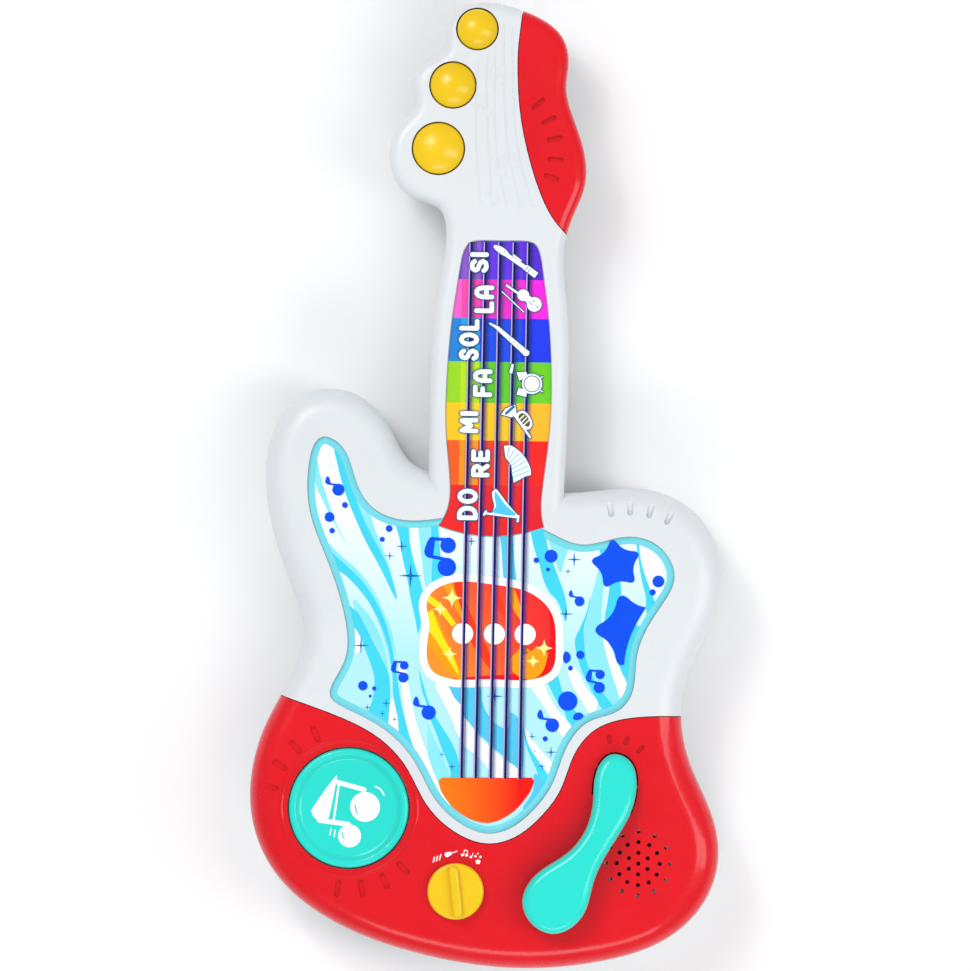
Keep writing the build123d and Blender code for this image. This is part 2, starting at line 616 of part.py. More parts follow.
with BuildPart() as tremolo_lever:
    with BuildSketch(Plane.XY.offset(35.0)):
        add(lever_outline.sketch)
    extrude(amount=40)
    with BuildSketch(arm_side):
        with BuildLine():
            back = Spline((-16.0, 49.6), (-6.0, 51.6), (10.0, 54.8), (30.0, 58.2), (55.0, 60.0), (90.0, 58.8))
            Polyline(back @ 1, (90, 51.0), (WELL_END + 1, 47.2), (WELL_END - 0.7, 47.0), (WELL_END - 0.7, 35),
                     (-16, 35), back @ 0)
        make_face()
    extrude(amount=40, both=True, mode=Mode.INTERSECT)
    back_edges = tremolo_lever.edges().filter_by(lambda e: e.bounding_box().min.Z > 49.0 and e.length > 5)
    fillet(back_edges, 4.0)
    with BuildSketch(arm_side):
        with Locations((0, PIN_Z)):
            Circle(PIN_R + RUNNING)
    extrude(amount=30, both=True, mode=Mode.SUBTRACT)
finish(tremolo_lever, "tremolo_lever")

with BuildPart() as lever_pin:
    with BuildSketch(arm_side.offset(-LUGS[0] - 1.5)):
        with Locations((0, PIN_Z)):
            Circle(PIN_R)
    extrude(amount=LUGS[0] - LUGS[1] + 3.0)
finish(lever_pin, "lever_pin")

with BuildPart() as lever_switch:
    with BuildSketch(lever_floor.offset(BOARD_TOP)):
        with Locations((8.0, 4.5)):
            Rectangle(6, 6)
    extrude(amount=6.7)
finish(lever_switch, "lever_switch")

lever_foot = lever_floor.from_local_coords((7.0, -3.5, 0))
with BuildPart() as lever_spring:
    add(dome(lever_foot.X, lever_foot.Y, BOARD_TOP, 35.0, 5.0))
finish(lever_spring, "lever_spring")

# ======================= boards, lights, speaker =======================
with BuildPart() as main_board:
    with BuildSketch(Plane.XY.offset(BOARD)):
        Polygon(
            (-84, -125), (-92, -134), (-92, -178), (-66, -192), (-34, -192), (-30, -197), (48, -197),
            (48, -151), (70, -151), (70, -125), align=None,
        )
        with Locations(*BOARD_SCREWS):
            Circle(1.2, mode=Mode.SUBTRACT)
    extrude(amount=BOARD_T)
finish(main_board, "main_board")

with BuildPart() as light_board:
    with BuildSketch(Plane.XY.offset(LIGHT_BOARD_TOP - BOARD_T)):
        with Locations((3.0, LIGHTS_Y)):
            RectangleRounded(80, 22, 2.0)
        with Locations(*LIGHT_SCREWS):
            Circle(1.2, mode=Mode.SUBTRACT)
    extrude(amount=BOARD_T)
finish(light_board, "light_board")

with BuildPart() as lights:
    extrude(discs([(x, LIGHTS_Y) for x in LIGHTS_X], LIGHT_BOARD_TOP, 2.5), amount=2.3)
    fillet(lights.edges().group_by(Axis.Z)[-1], 1.0)
finish(lights, "lights")

with BuildPart() as neck_board:
    with BuildSketch(Plane.XY.offset(NECK_BOARD)):
        with Locations((NECK_X, 45.0)):
            Rectangle(27, 130)
        with Locations(*STAKES):
            Circle(1.3, mode=Mode.SUBTRACT)
    extrude(amount=BOARD_T)
finish(neck_board, "neck_board")

with BuildPart() as neck_pads:
    pad_foot = NECK_BOARD + BOARD_T
    extrude(discs([(NECK_X, y) for y in PADS_Y], pad_foot, 5.9), amount=POCKET - 0.1 - pad_foot)
finish(neck_pads, "neck_pads")

with BuildPart() as peg_board:
    with BuildSketch(Plane.XY.offset(PEG_BOARD)):
        Polygon(
            (-60, 144), (-2, 144), (-2, 160), (0, 166), (0, 178), (-1, 184), (-1, 230), (-60, 230), align=None,
        )
        with Locations(*PEG_SCREWS):
            Circle(1.2, mode=Mode.SUBTRACT)
    extrude(amount=BOARD_T)
    extrude(grown(neck_outline, -3.6, PEG_BOARD), amount=BOARD_T, mode=Mode.INTERSECT)
finish(peg_board, "peg_board")

with BuildPart() as speaker_basket:
    add(turned(
        *SPEAKER, (4.2, 33), (10.2, 33), (15.8, 40), (18, 40), (18, 41.4), (14.8, 41.4), (9.6, 34.2), (4.2, 34.2),
    ))
finish(speaker_basket, "speaker_basket")

with BuildPart() as speaker_cone:
    add(turned(
        *SPEAKER, (0, 36.6), (4, 35.8), (13.6, 40.8), (14.6, 41.3), (13.3, 41.3), (4, 36.6), (0, 37.4),
    ))
finish(speaker_cone, "speaker_cone")

with BuildPart() as speaker_magnet:
    extrude(discs([SPEAKER], 26.5, 10.0), amount=6.5)
    fillet(speaker_magnet.edges().group_by(Axis.Z)[0], 0.8)
finish(speaker_magnet, "speaker_magnet")

with BuildPart() as speaker_clamp:
    with BuildSketch(Plane.XY.offset(CLAMP_TOP - 1.8)):
        with Locations(SPEAKER):
            Circle(19.5)
            Rectangle(52, 8, rotation=45)
        with Locations(SPEAKER):
            Circle(16.2, mode=Mode.SUBTRACT)
        with Locations(*CLAMP_SCREWS):
            Circle(1.2, mode=Mode.SUBTRACT)
    extrude(amount=1.8)
finish(speaker_clamp, "speaker_clamp")

# ======================= wiring and screws =======================
with BuildPart() as neck_ribbon:
    path = ((-20, 40.6), (-28, 40.6), (-42, 31), (-112, 31), (-122, 28.05), (-128, 28.05))
    add(ribbon(NECK_X, 12.0, *path))
finish(neck_ribbon, "neck_ribbon")

with BuildPart() as head_ribbon:
    add(ribbon(-6.0, 8.0, (110, 40.6), (118, 40.6), (134, 29.05), (148, 29.05)))
finish(head_ribbon, "head_ribbon")

with BuildPart() as speaker_leads:
    for y in (SPEAKER[1] + 1.5, SPEAKER[1] - 1.5):
        add(wire((45.5, y, BOARD_TOP), (45.5, y, 31.2), (59.9, y, 31.2), (59.9, y, 34.4)))
finish(speaker_leads, "speaker_leads")

with BuildPart() as battery_leads:
    for x in (-10.0, 14.0):
        add(wire((x, -96.4, 12), (x, -128, 12), (x, -128, BOARD)))
    for x in (0.0, 7.0):
        add(wire((x, SLIDER[1] - 1, 13.3), (x, SLIDER[1] - 1, 17), (x, -35.6, 17)))
finish(battery_leads, "battery_leads")

with BuildPart() as light_leads:
    for x in (28.5, 31.5):
        add(wire((x, -76, 36), (x, -76, 31.2), (x, -128, 31.2), (x, -128, BOARD_TOP)))
finish(light_leads, "light_leads")

with BuildPart() as case_screws:
    add(screws(CASE_SCREWS + COVER_SCREWS, HEAD_SEAT, 34.0))
finish(case_screws, "case_screws")

with BuildPart() as neck_screws:
    add(screws(NECK_SCREWS + TRIM_SCREWS, NECK_SEAT, 34.0))
finish(neck_screws, "neck_screws")

with BuildPart() as board_screws:
    add(screws(BOARD_SCREWS, BOARD, BOARD + 7, head_r=1.9, shank_r=0.95, head_t=1.3))
    add(screws(LIGHT_SCREWS, LIGHT_BOARD_TOP - BOARD_T, 41.5, head_r=1.9, shank_r=0.95, head_t=1.3))
    add(screws(PEG_SCREWS, PEG_BOARD, PEG_BOARD + 7, head_r=1.9, shank_r=0.95, head_t=1.3))
    add(screws(CLAMP_SCREWS, CLAMP_TOP - 1.8, 41.5, head_r=1.9, shank_r=0.95, head_t=1.3))
finish(board_screws, "board_screws")
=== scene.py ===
"""Looks of the toy electric guitar: moulded plastics, printed films, floor, studio light and camera."""
import json
from math import atan2, cos, hypot, radians, sin

import bmesh
import bpy
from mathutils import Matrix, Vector
from mathutils.geometry import delaunay_2d_cdt


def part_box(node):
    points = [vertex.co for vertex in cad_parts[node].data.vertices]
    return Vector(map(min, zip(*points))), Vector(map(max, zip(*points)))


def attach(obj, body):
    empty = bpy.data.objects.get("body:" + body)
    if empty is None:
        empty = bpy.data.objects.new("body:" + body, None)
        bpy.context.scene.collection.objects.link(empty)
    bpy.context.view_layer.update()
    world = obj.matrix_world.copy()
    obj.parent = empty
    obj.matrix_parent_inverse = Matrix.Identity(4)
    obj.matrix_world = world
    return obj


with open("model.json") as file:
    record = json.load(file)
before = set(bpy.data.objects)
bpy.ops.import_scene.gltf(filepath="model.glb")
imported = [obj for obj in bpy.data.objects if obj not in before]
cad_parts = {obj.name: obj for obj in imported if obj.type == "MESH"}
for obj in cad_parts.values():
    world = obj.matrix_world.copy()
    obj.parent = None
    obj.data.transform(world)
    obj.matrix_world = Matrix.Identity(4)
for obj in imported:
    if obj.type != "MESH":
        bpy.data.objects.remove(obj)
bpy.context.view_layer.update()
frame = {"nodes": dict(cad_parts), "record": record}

MM = 0.001
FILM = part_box("body_label")[1][2]  # level of the printed surface
# Layers of ink from the film up: 1 the field, 2 to 5 its waves, 6 the blue prints and the window's margin,
# 7 to 9 the window, 9.2 and 9.3 the strings, 9.5 to 13 the pictures of instruments and the note names.
LAYER = 0.05 * MM  # step between one layer and the next
DISH_DEPTH = 2.0 * MM  # the drum button's dish below its rim
COLLAR_HEIGHT = 0.5 * MM  # the collar round the drum above the lower cover's face
RELIEF_HEIGHT = 0.22 * MM  # raised lines on the head

scene = bpy.context.scene
scene.view_settings.view_transform = "Standard"


# ======================= materials =======================
def srgb(red, green, blue):
    """A colour given as it looks on a screen, 0 to 255, as linear values."""
    line = []
    for value in (red, green, blue):
        value /= 255
        line.append(value / 12.92 if value <= 0.04045 else ((value + 0.055) / 1.055) ** 2.4)
    return (*line, 1.0)


class Nodes:
    """A material's node tree with short calls for adding and joining nodes."""

    def __init__(self, name):
        self.material = bpy.data.materials.new(name)
        self.material.use_nodes = True
        self.tree = self.material.node_tree
        self.shader = self.tree.nodes["Principled BSDF"]

    def add(self, kind, **values):
        node = self.tree.nodes.new(kind)
        for key, value in values.items():
            setattr(node, key, value)
        return node

    def join(self, out, into):
        self.tree.links.new(out, into)

    def place(self):
        """Position on the object, in metres."""
        return self.add("ShaderNodeTexCoord").outputs["Object"]

    def noise(self, scale, detail=3.0, rough=0.5):
        node = self.add("ShaderNodeTexNoise")
        node.inputs["Scale"].default_value = scale
        node.inputs["Detail"].default_value = detail
        node.inputs["Roughness"].default_value = rough
        self.join(self.place(), node.inputs["Vector"])
        return node.outputs["Fac"]

    def ramp(self, source, stops, constant=False):
        node = self.add("ShaderNodeValToRGB")
        node.color_ramp.interpolation = "CONSTANT" if constant else "LINEAR"
        points = node.color_ramp.elements
        while len(points) < len(stops):
            points.new(0.5)
        for point, (where, colour) in zip(points, stops):
            point.position = where
            point.color = colour
        self.join(source, node.inputs["Fac"])
        return node.outputs["Color"]

    def spread(self, source, low, high, start=0.3, end=0.7):
        """Maps a 0 to 1 value between two numbers."""
        node = self.add("ShaderNodeMapRange")
        node.inputs["From Min"].default_value = start
        node.inputs["From Max"].default_value = end
        node.inputs["To Min"].default_value = low
        node.inputs["To Max"].default_value = high
        self.join(source, node.inputs["Value"])
        return node.outputs["Result"]

    def blend(self, factor, a, b, kind="MIX"):
        node = self.add("ShaderNodeMix", data_type="RGBA", blend_type=kind)
        for value, socket in ((factor, node.inputs[0]), (a, node.inputs[6]), (b, node.inputs[7])):
            if isinstance(value, (int, float, tuple)):
                socket.default_value = value
            else:
                self.join(value, socket)
        return node.outputs[2]

    def bump(self, source, distance, strength=0.3):
        node = self.add("ShaderNodeBump")
        node.inputs["Strength"].default_value = strength
        node.inputs["Distance"].default_value = distance
        self.join(source, node.inputs["Height"])
        self.join(node.outputs["Normal"], self.shader.inputs["Normal"])


def shade(colour, factor):
    return (*[min(1.0, value * factor) for value in colour[:3]], 1.0)


def moulded(name, colour, rough=0.3, grain=1.0, coat=0.0, depth=0.06, shine=0.5):
    """Moulded plastic: slight flow marks and specks in the colour, uneven gloss and a fine skin."""
    n = Nodes(name)
    flow = n.noise(14.0, 4.0)
    body = n.ramp(flow, [(0.3, shade(colour, 1 - depth)), (0.7, shade(colour, 1 + depth * 0.5))])
    specks = n.ramp(n.noise(900.0, 2.0), [(0.30, (0.93, 0.93, 0.93, 1)), (0.42, (1, 1, 1, 1))])
    n.join(n.blend(0.35, body, specks, "MULTIPLY"), n.shader.inputs["Base Color"])
    n.join(n.spread(n.noise(60.0, 5.0, 0.65), rough * 0.8, rough * 1.25), n.shader.inputs["Roughness"])
    n.bump(n.noise(1500.0, 2.0), 0.00002, 0.25 * grain)
    n.shader.inputs["Specular IOR Level"].default_value = shine
    n.shader.inputs["Coat Weight"].default_value = coat
    n.shader.inputs["Coat Roughness"].default_value = 0.08
    n.shader.inputs["IOR"].default_value = 1.5
    return n.material


def ink(name, colour, second=None, direction=None, low=0.0, high=1.0):
    """Printed ink under a clear film, with a fine screen dot; it may fade to a second colour."""
    n = Nodes(name)
    rough = 0.32
    base = n.ramp(n.noise(40.0, 3.0), [(0.3, shade(colour, 0.95)), (0.7, shade(colour, 1.03))])
    if second:
        axes = n.add("ShaderNodeSeparateXYZ")
        n.join(n.place(), axes.inputs[0])
        fade = n.spread(axes.outputs[direction], 0.0, 1.0, low, high)
        base = n.blend(fade, base, second)
    dots = n.ramp(n.noise(2600.0, 1.0), [(0.3, (0.95, 0.95, 0.95, 1)), (0.45, (1, 1, 1, 1))])
    n.join(n.blend(0.4, base, dots, "MULTIPLY"), n.shader.inputs["Base Color"])
    n.join(n.spread(n.noise(90.0, 4.0), rough * 0.85, rough * 1.2), n.shader.inputs["Roughness"])
    n.bump(n.noise(300.0, 2.0), 0.00002, 0.15)
    n.shader.inputs["Specular IOR Level"].default_value = 0.2
    return n.material


def metal(name, colour, rough, metallic=1.0):
    """Plated or cast metal with drawn marks."""
    n = Nodes(name)
    scratch = 400.0
    n.join(n.ramp(n.noise(120.0, 5.0), [(0.3, shade(colour, 0.8)), (0.7, colour)]),
           n.shader.inputs["Base Color"])
    n.join(n.spread(n.noise(scratch, 4.0, 0.7), rough * 0.7, rough * 1.4), n.shader.inputs["Roughness"])
    n.bump(n.noise(scratch, 4.0), 0.00003, 0.3)
    n.shader.inputs["Metallic"].default_value = metallic
    return n.material


def circuit(name):
    """Green solder mask over copper tracks."""
    n = Nodes(name)
    cells = n.add("ShaderNodeTexVoronoi", distance="MANHATTAN")
    cells.inputs["Scale"].default_value = 240.0
    n.join(n.place(), cells.inputs["Vector"])
    tracks = n.ramp(cells.outputs["Distance"], [(0.35, srgb(16, 92, 50)), (0.5, srgb(34, 126, 70))])
    n.join(tracks, n.shader.inputs["Base Color"])
    n.join(n.spread(n.noise(200.0), 0.3, 0.5), n.shader.inputs["Roughness"])
    n.bump(cells.outputs["Distance"], 0.00005, 0.3)
    return n.material


def neck_print(name):
    """Seven coloured bands across the neck, paler in two steps towards the left, redder at the right."""
    n = Nodes(name)
    axes = n.add("ShaderNodeSeparateXYZ")
    n.join(n.place(), axes.inputs[0])
    low, high = -25 * MM, 115 * MM
    run = n.spread(axes.outputs["Y"], 0.0, 1.0, low, high)
    edges = [-25, -0.1, 20.4, 38.4, 57.4, 77.5, 95.7]
    rows = [
        [(238, 20, 20), (240, 16, 26), (236, 22, 18), (232, 10, 30)],
        [(242, 92, 10), (250, 150, 8), (240, 60, 16), (250, 20, 12)],
        [(250, 200, 10), (252, 214, 20), (252, 200, 14), (252, 186, 30)],
        [(150, 214, 16), (182, 226, 6), (96, 200, 24), (104, 206, 22)],
        [(26, 130, 214), (24, 160, 226), (10, 72, 226), (4, 50, 236)],
        [(246, 96, 200), (240, 70, 170), (236, 40, 200), (250, 22, 224)],
        [(112, 66, 200), (136, 84, 196), (96, 44, 222), (84, 34, 214)],
    ]
    fields = []
    for column in range(4):
        stops = [
            ((edge * MM - low) / (high - low), srgb(*rows[index][column])) for index, edge in enumerate(edges)
        ]
        fields.append(n.ramp(run, stops, constant=True))
    colour = fields[0]
    for left, field in zip((-14.2, -5.5, 14.0), fields[1:]):
        step = n.add("ShaderNodeMath", operation="GREATER_THAN")
        step.inputs[1].default_value = left * MM
        n.join(axes.outputs["X"], step.inputs[0])
        colour = n.blend(step.outputs[0], colour, field)
    soft = n.ramp(n.noise(30.0, 3.0), [(0.3, (0.94, 0.94, 0.94, 1)), (0.7, (1, 1, 1, 1))])
    n.join(n.blend(1.0, colour, soft, "MULTIPLY"), n.shader.inputs["Base Color"])
    n.join(n.spread(n.noise(90.0, 4.0), 0.24, 0.36), n.shader.inputs["Roughness"])
    n.bump(n.noise(260.0, 2.0), 0.00003, 0.2)
    return n.material


def window_print(name):
    """The lit window: orange at the left and bottom turning red to the right, with a slow glow."""
    n = Nodes(name)
    axes = n.add("ShaderNodeSeparateXYZ")
    n.join(n.place(), axes.inputs[0])
    lift = n.add("ShaderNodeMath", operation="MULTIPLY_ADD")
    n.join(axes.outputs["Y"], lift.inputs[0])
    lift.inputs[1].default_value = 0.45
    n.join(axes.outputs["X"], lift.inputs[2])
    side = n.spread(lift.outputs[0], 0.0, 1.0, -58 * MM, 6 * MM)
    tone = n.ramp(side, [
        (0.0, srgb(255, 150, 10)), (0.25, srgb(255, 118, 8)), (0.5, srgb(255, 78, 8)),
        (0.75, srgb(250, 34, 10)),
        (1.0, srgb(238, 8, 20)),
    ])
    glow = n.ramp(n.noise(28.0, 2.0), [(0.35, (0.9, 0.86, 0.8, 1)), (0.7, (1, 1, 1, 1))])
    n.join(n.blend(1.0, tone, glow, "MULTIPLY"), n.shader.inputs["Base Color"])
    n.join(n.spread(n.noise(90.0, 4.0), 0.12, 0.22), n.shader.inputs["Roughness"])
    n.bump(n.noise(220.0, 2.0), 0.00002, 0.15)
    n.shader.inputs["Coat Weight"].default_value = 0.6
    return n.material


WHITE = srgb(219, 223, 226)
RED = srgb(224, 0, 22)
TEAL = srgb(32, 220, 205)
YELLOW = srgb(240, 199, 4)
BLUE = srgb(0, 78, 236)
NAVY = srgb(6, 14, 84)

white_shell = moulded("white_shell", WHITE, 0.36, depth=0.03)
red_cover = moulded("red_cover", RED, 0.27, coat=0.3, depth=0.06, shine=0.25)
teal_part = moulded("teal_part", TEAL, 0.24, coat=0.25, depth=0.05, shine=0.35)
yellow_part = moulded("yellow_part", YELLOW, 0.28, coat=0.2, depth=0.06, shine=0.35)
black_part = moulded("black_part", srgb(26, 26, 28), 0.45)
silicone = moulded("silicone", srgb(214, 214, 206), 0.6)
ribbon_cable = moulded("ribbon_cable", srgb(190, 190, 184), 0.5)
wire_skin = moulded("wire_skin", srgb(176, 24, 22), 0.4)
paper_cone = moulded("paper_cone", srgb(34, 34, 36), 0.85, grain=3.0)
cell_sleeve = metal("cell_sleeve", srgb(60, 78, 120), 0.35, 0.6)
steel = metal("steel", srgb(190, 190, 192), 0.32)
ferrite = metal("ferrite", srgb(50, 50, 54), 0.6, 0.4)
board = circuit("board")
lens = moulded("lens", srgb(240, 240, 232), 0.1)
film_border = ink("film_border", srgb(118, 214, 226))
field_ink = ink("field_ink", srgb(244, 250, 252), srgb(176, 234, 245), direction="Y", low=-10 * MM,
                high=-80 * MM)
cyan_ink = ink("cyan_ink", srgb(66, 212, 238))
pale_ink = ink("pale_ink", srgb(140, 230, 242))
sky_ink = ink("sky_ink", srgb(84, 198, 236))
white_ink = ink("white_ink", srgb(246, 252, 254))
blue_ink = ink("blue_ink", BLUE)
spark_ink = ink("spark_ink", srgb(16, 96, 190))
navy_ink = ink("navy_ink", NAVY)
lilac_ink = ink("lilac_ink", srgb(186, 176, 226))
outline_ink = ink("outline_ink", srgb(22, 92, 132))
yellow_ink = ink("yellow_ink", srgb(255, 226, 20))
amber_ink = ink("amber_ink", srgb(255, 160, 14))
scarlet_ink = ink("scarlet_ink", srgb(240, 10, 22))
bridge_ink = ink(
    "bridge_ink", srgb(255, 120, 14), srgb(248, 20, 14), direction="X", low=-16 * MM, high=16 * MM,
)

finishes = {
    "white_shell": white_shell, "red_cover": red_cover, "turquoise": teal_part, "yellow": yellow_part,
    "printed_film": film_border, "neck_film": neck_print("neck_film"), "window": window_print("window"),
    "board": board, "black_part": black_part, "silicone": silicone, "steel": steel, "magnet": ferrite,
    "paper_cone": paper_cone, "battery": cell_sleeve, "wire": wire_skin, "ribbon": ribbon_cable, "led": lens,
}
for part in frame["record"]["subparts"]:
    node = frame["nodes"][part["node"]]
    for index in range(len(node.material_slots)):
        node.material_slots[index].material = finishes[part["material_slot"]]


# ======================= flat shapes, all in millimetres =======================
def smooth(points, closed=True, steps=10):
    """A Catmull-Rom curve through the points."""
    count = len(points)
    line = []
    for index in range(count if closed else count - 1):
        if closed:
            a, b, c, d = (points[(index + shift) % count] for shift in (-1, 0, 1, 2))
        else:
            a, b = points[max(index - 1, 0)], points[index]
            c, d = points[index + 1], points[min(index + 2, count - 1)]
        for step in range(steps):
            t = step / steps
            line.append(tuple(
                0.5 * (2 * b[k] + (c[k] - a[k]) * t + (2 * a[k] - 5 * b[k] + 4 * c[k] - d[k]) * t * t
                       + (3 * b[k] - a[k] - 3 * c[k] + d[k]) * t ** 3)
                for k in range(len(b))
            ))
    if not closed:
        line.append(tuple(points[-1]))
    return line


def disc(x, y, radius):
    """A disc."""
    count = max(12, int(radius * 10))
    turns = (radians(360 * index / count) for index in range(count))
    return [(x + radius * cos(turn), y + radius * sin(turn)) for turn in turns]


def band(points, steps=8):
    """A flowing band; each point is (x, y, width)."""
    line = smooth(points, closed=False, steps=steps)
    left, right = [], []
    for index, (x, y, width) in enumerate(line):
        before, after = line[max(index - 1, 0)], line[min(index + 1, len(line) - 1)]
        along = Vector((after[0] - before[0], after[1] - before[1])).normalized()
        half = max(width, 0.02) / 2
        left.append((x - along.y * half, y + along.x * half))
        right.append((x + along.y * half, y - along.x * half))
    return left + right[::-1]


def bar(x0, y0, x1, y1, width, end_width=None):
    """A straight bar with round ends."""
    end_width = width if end_width is None else end_width
    angle = atan2(y1 - y0, x1 - x0)
    loop = []
    for cx, cy, wide, first in ((x1, y1, end_width, -90), (x0, y0, width, 90)):
        for index in range(9):
            turn = angle + radians(first + 180 * index / 8)
            loop.append((cx + wide / 2 * cos(turn), cy + wide / 2 * sin(turn)))
    return loop


def star(x, y, radius, turn):
    """A five-pointed star with rounded tips and hollows."""
    points, inner = 5, 0.55
    corners = []
    for index in range(2 * points):
        reach = radius if index % 2 == 0 else radius * inner
        angle = radians(turn + 180 * index / points)
        corners.append((x + reach * cos(angle), y + reach * sin(angle)))
    for _ in range(3):
        cut = []
        for index, a in enumerate(corners):
            b = corners[(index + 1) % len(corners)]
            cut.append((a[0] * 0.75 + b[0] * 0.25, a[1] * 0.75 + b[1] * 0.25))
            cut.append((a[0] * 0.25 + b[0] * 0.75, a[1] * 0.25 + b[1] * 0.75))
        corners = cut
    return corners


def sparkle(x, y, radius, waist=0.13):
    """A four-pointed sparkle."""
    loop = []
    for index in range(8):
        reach = radius if index % 2 == 0 else radius * waist
        angle = radians(45 * index)
        loop.append((x + reach * cos(angle), y + reach * sin(angle)))
    return loop


def placed(points, x, y, size):
    """A smooth closed shape, enlarged and moved to a spot."""
    return smooth([(x + px * size, y + py * size) for px, py in points])


def note(x, y, size):
    """A single note lying on its side: a head, and a tail at the upper left that ends in a drop."""
    return [
        disc(x, y, size), bar(x - 1.5 * size, y + 0.95 * size, x - 0.2 * size, y + 0.78 * size, 0.3 * size),
        placed([(-1.3, 0.85), (-1.35, 1.3), (-1.55, 2.0), (-1.85, 2.2), (-2.1, 1.8), (-2.2, 1.2),
                (-1.8, 0.85)],
               x, y, size),
    ]


def double_note(x, y, size):
    """Two notes joined by a thick beam on the left."""
    beam = [(-1.9, 3.1), (-1.45, 3.2), (-1.35, 2.7), (-1.45, 1.8), (-1.5, 1.3), (-1.7, 1.0), (-2.2, 1.1),
            (-2.45, 1.6), (-2.3, 2.3)]
    return [
        disc(x, y, size), disc(x + 0.1 * size, y + 2.35 * size, size * 0.84), placed(beam, x, y, size),
        bar(x - 1.7 * size, y + 3.05 * size, x + 0.1 * size, y + 2.95 * size, 0.35 * size),
        bar(x - 1.9 * size, y + 1.15 * size, x, y + 0.8 * size, 0.35 * size),
    ]


# ======================= printed pieces =======================
def holds(loop, x, y):
    """True where a spot lies inside a loop."""
    within = False
    for a, b in zip(loop, loop[1:] + loop[:1]):
        if (a[1] > y) != (b[1] > y) and x < a[0] + (b[0] - a[0]) * (y - a[1]) / (b[1] - a[1]):
            within = not within
    return within


def flat(loops, inside=None):
    """Corners and triangles that cover all the loops once, kept inside an outline if one is given."""
    spots, edges, boxes = [], [], []
    for loop in loops + [inside] if inside else loops:
        first, count = len(spots), len(loop)
        edges.extend((first + index, first + (index + 1) % count) for index in range(count))
        spots.extend(Vector(spot[:2]) for spot in loop)
    for loop in loops:
        across, up = [spot[0] for spot in loop], [spot[1] for spot in loop]
        boxes.append((loop, min(across), max(across), min(up), max(up)))
    corners, _, faces = delaunay_2d_cdt(spots, edges, [], 0, 1e-4)[:3]
    kept = []
    for face in faces:
        x, y = (sum(corners[index][axis] for index in face) / 3 for axis in (0, 1))
        covered = any(
            left < x < right and low < y < high and holds(loop, x, y)
            for loop, left, right, low, high in boxes
        )
        if covered and (inside is None or holds(inside, x, y)):
            kept.append(face)
    return corners, kept


def prism(name, loops, layer, material, level=FILM, thick=LAYER * 0.8, body="guitar", inside=None):
    """A closed flat piece of ink over loops in millimetres, on a numbered layer above a level."""
    corners, faces = flat(loops, inside)
    mesh = bmesh.new()
    base = level + layer * LAYER
    spots = [mesh.verts.new((x * MM, y * MM, base)) for x, y in corners]
    for face in faces:
        mesh.faces.new([spots[index] for index in face])
    bmesh.ops.delete(mesh, geom=[spot for spot in mesh.verts if not spot.link_faces], context="VERTS")
    top = bmesh.ops.extrude_face_region(mesh, geom=mesh.faces[:])["geom"]
    bmesh.ops.translate(mesh, vec=(0, 0, thick), verts=[g for g in top if isinstance(g, bmesh.types.BMVert)])
    bmesh.ops.recalc_face_normals(mesh, faces=mesh.faces)
    data = bpy.data.meshes.new(name)
    mesh.to_mesh(data)
    mesh.free()
    piece = bpy.data.objects.new(name, data)
    bpy.context.collection.objects.link(piece)
    data.materials.append(material)
    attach(piece, body)
    return piece


def outlines(node):
    """The closed edge loops of a CAD node's top face, in millimetres, longest first."""
    data = frame["nodes"][node].data
    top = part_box(node)[1][2]
    spots, sides = {}, {}
    for face in data.polygons:
        keys = []
        for vertex in face.vertices:
            place = data.vertices[vertex].co
            keys.append((round(place.x, 7), round(place.y, 7)) if abs(place.z - top) < 1e-6 else None)
        if None in keys:
            continue
        for a, b in zip(keys, keys[1:] + keys[:1]):
            if (b, a) in sides:
                del sides[(b, a)]
            else:
                sides[(a, b)] = True
    after = {a: b for a, b in sides}
    loops = []
    while after:
        start, spot = next(iter(after.items()))
        del after[start]
        loop = [start]
        while spot != start and spot in after:
            loop.append(spot)
            spot = after.pop(spot)
        loops.append([(x / MM, y / MM) for x, y in loop])
    return sorted(loops, key=lambda loop: -len_of(loop))


def len_of(loop):
    """Length round a closed loop."""
    return sum(hypot(a[0] - b[0], a[1] - b[1]) for a, b in zip(loop, loop[1:] + loop[:1]))


def even(loop, step):
    """The loop again, with points at an even distance."""
    total = len_of(loop)
    count = int(total / step)
    out, walked, index = [], 0.0, 0
    sides = [(a, b, hypot(a[0] - b[0], a[1] - b[1])) for a, b in zip(loop, loop[1:] + loop[:1])]
    for number in range(count):
        target = total * number / count
        while walked + sides[index][2] < target:
            walked += sides[index][2]
            index += 1
        a, b, length = sides[index]
        t = (target - walked) / max(length, 1e-9)
        out.append((a[0] + (b[0] - a[0]) * t, a[1] + (b[1] - a[1]) * t))
    return out


def inset(loop, amount):
    """The loop moved inwards; amount is a function of x and y."""
    count = len(loop)
    area = sum(a[0] * b[1] - b[0] * a[1] for a, b in zip(loop, loop[1:] + loop[:1]))
    side = 1 if area > 0 else -1
    moved = []
    for index, (x, y) in enumerate(loop):
        a, b = loop[index - 2], loop[(index + 2) % count]
        along = Vector((b[0] - a[0], b[1] - a[1])).normalized()
        reach = amount(x, y)
        moved.append((x - along.y * side * reach, y + along.x * side * reach))
    return [spot for spot in moved if all(
        hypot(spot[0] - x, spot[1] - y) > amount(x, y) - 0.35 for x, y in loop[::2]
    )]


# ---- the body's picture: a field inside the border, then flowing bands ----
label_edge = even(outlines("body_label")[0], 1.6)


def border(x, y):
    """Width of the border, which fades out where the neck's picture joins."""
    return 0.4 if -24 < x < 26 and y > -30 else 3.2


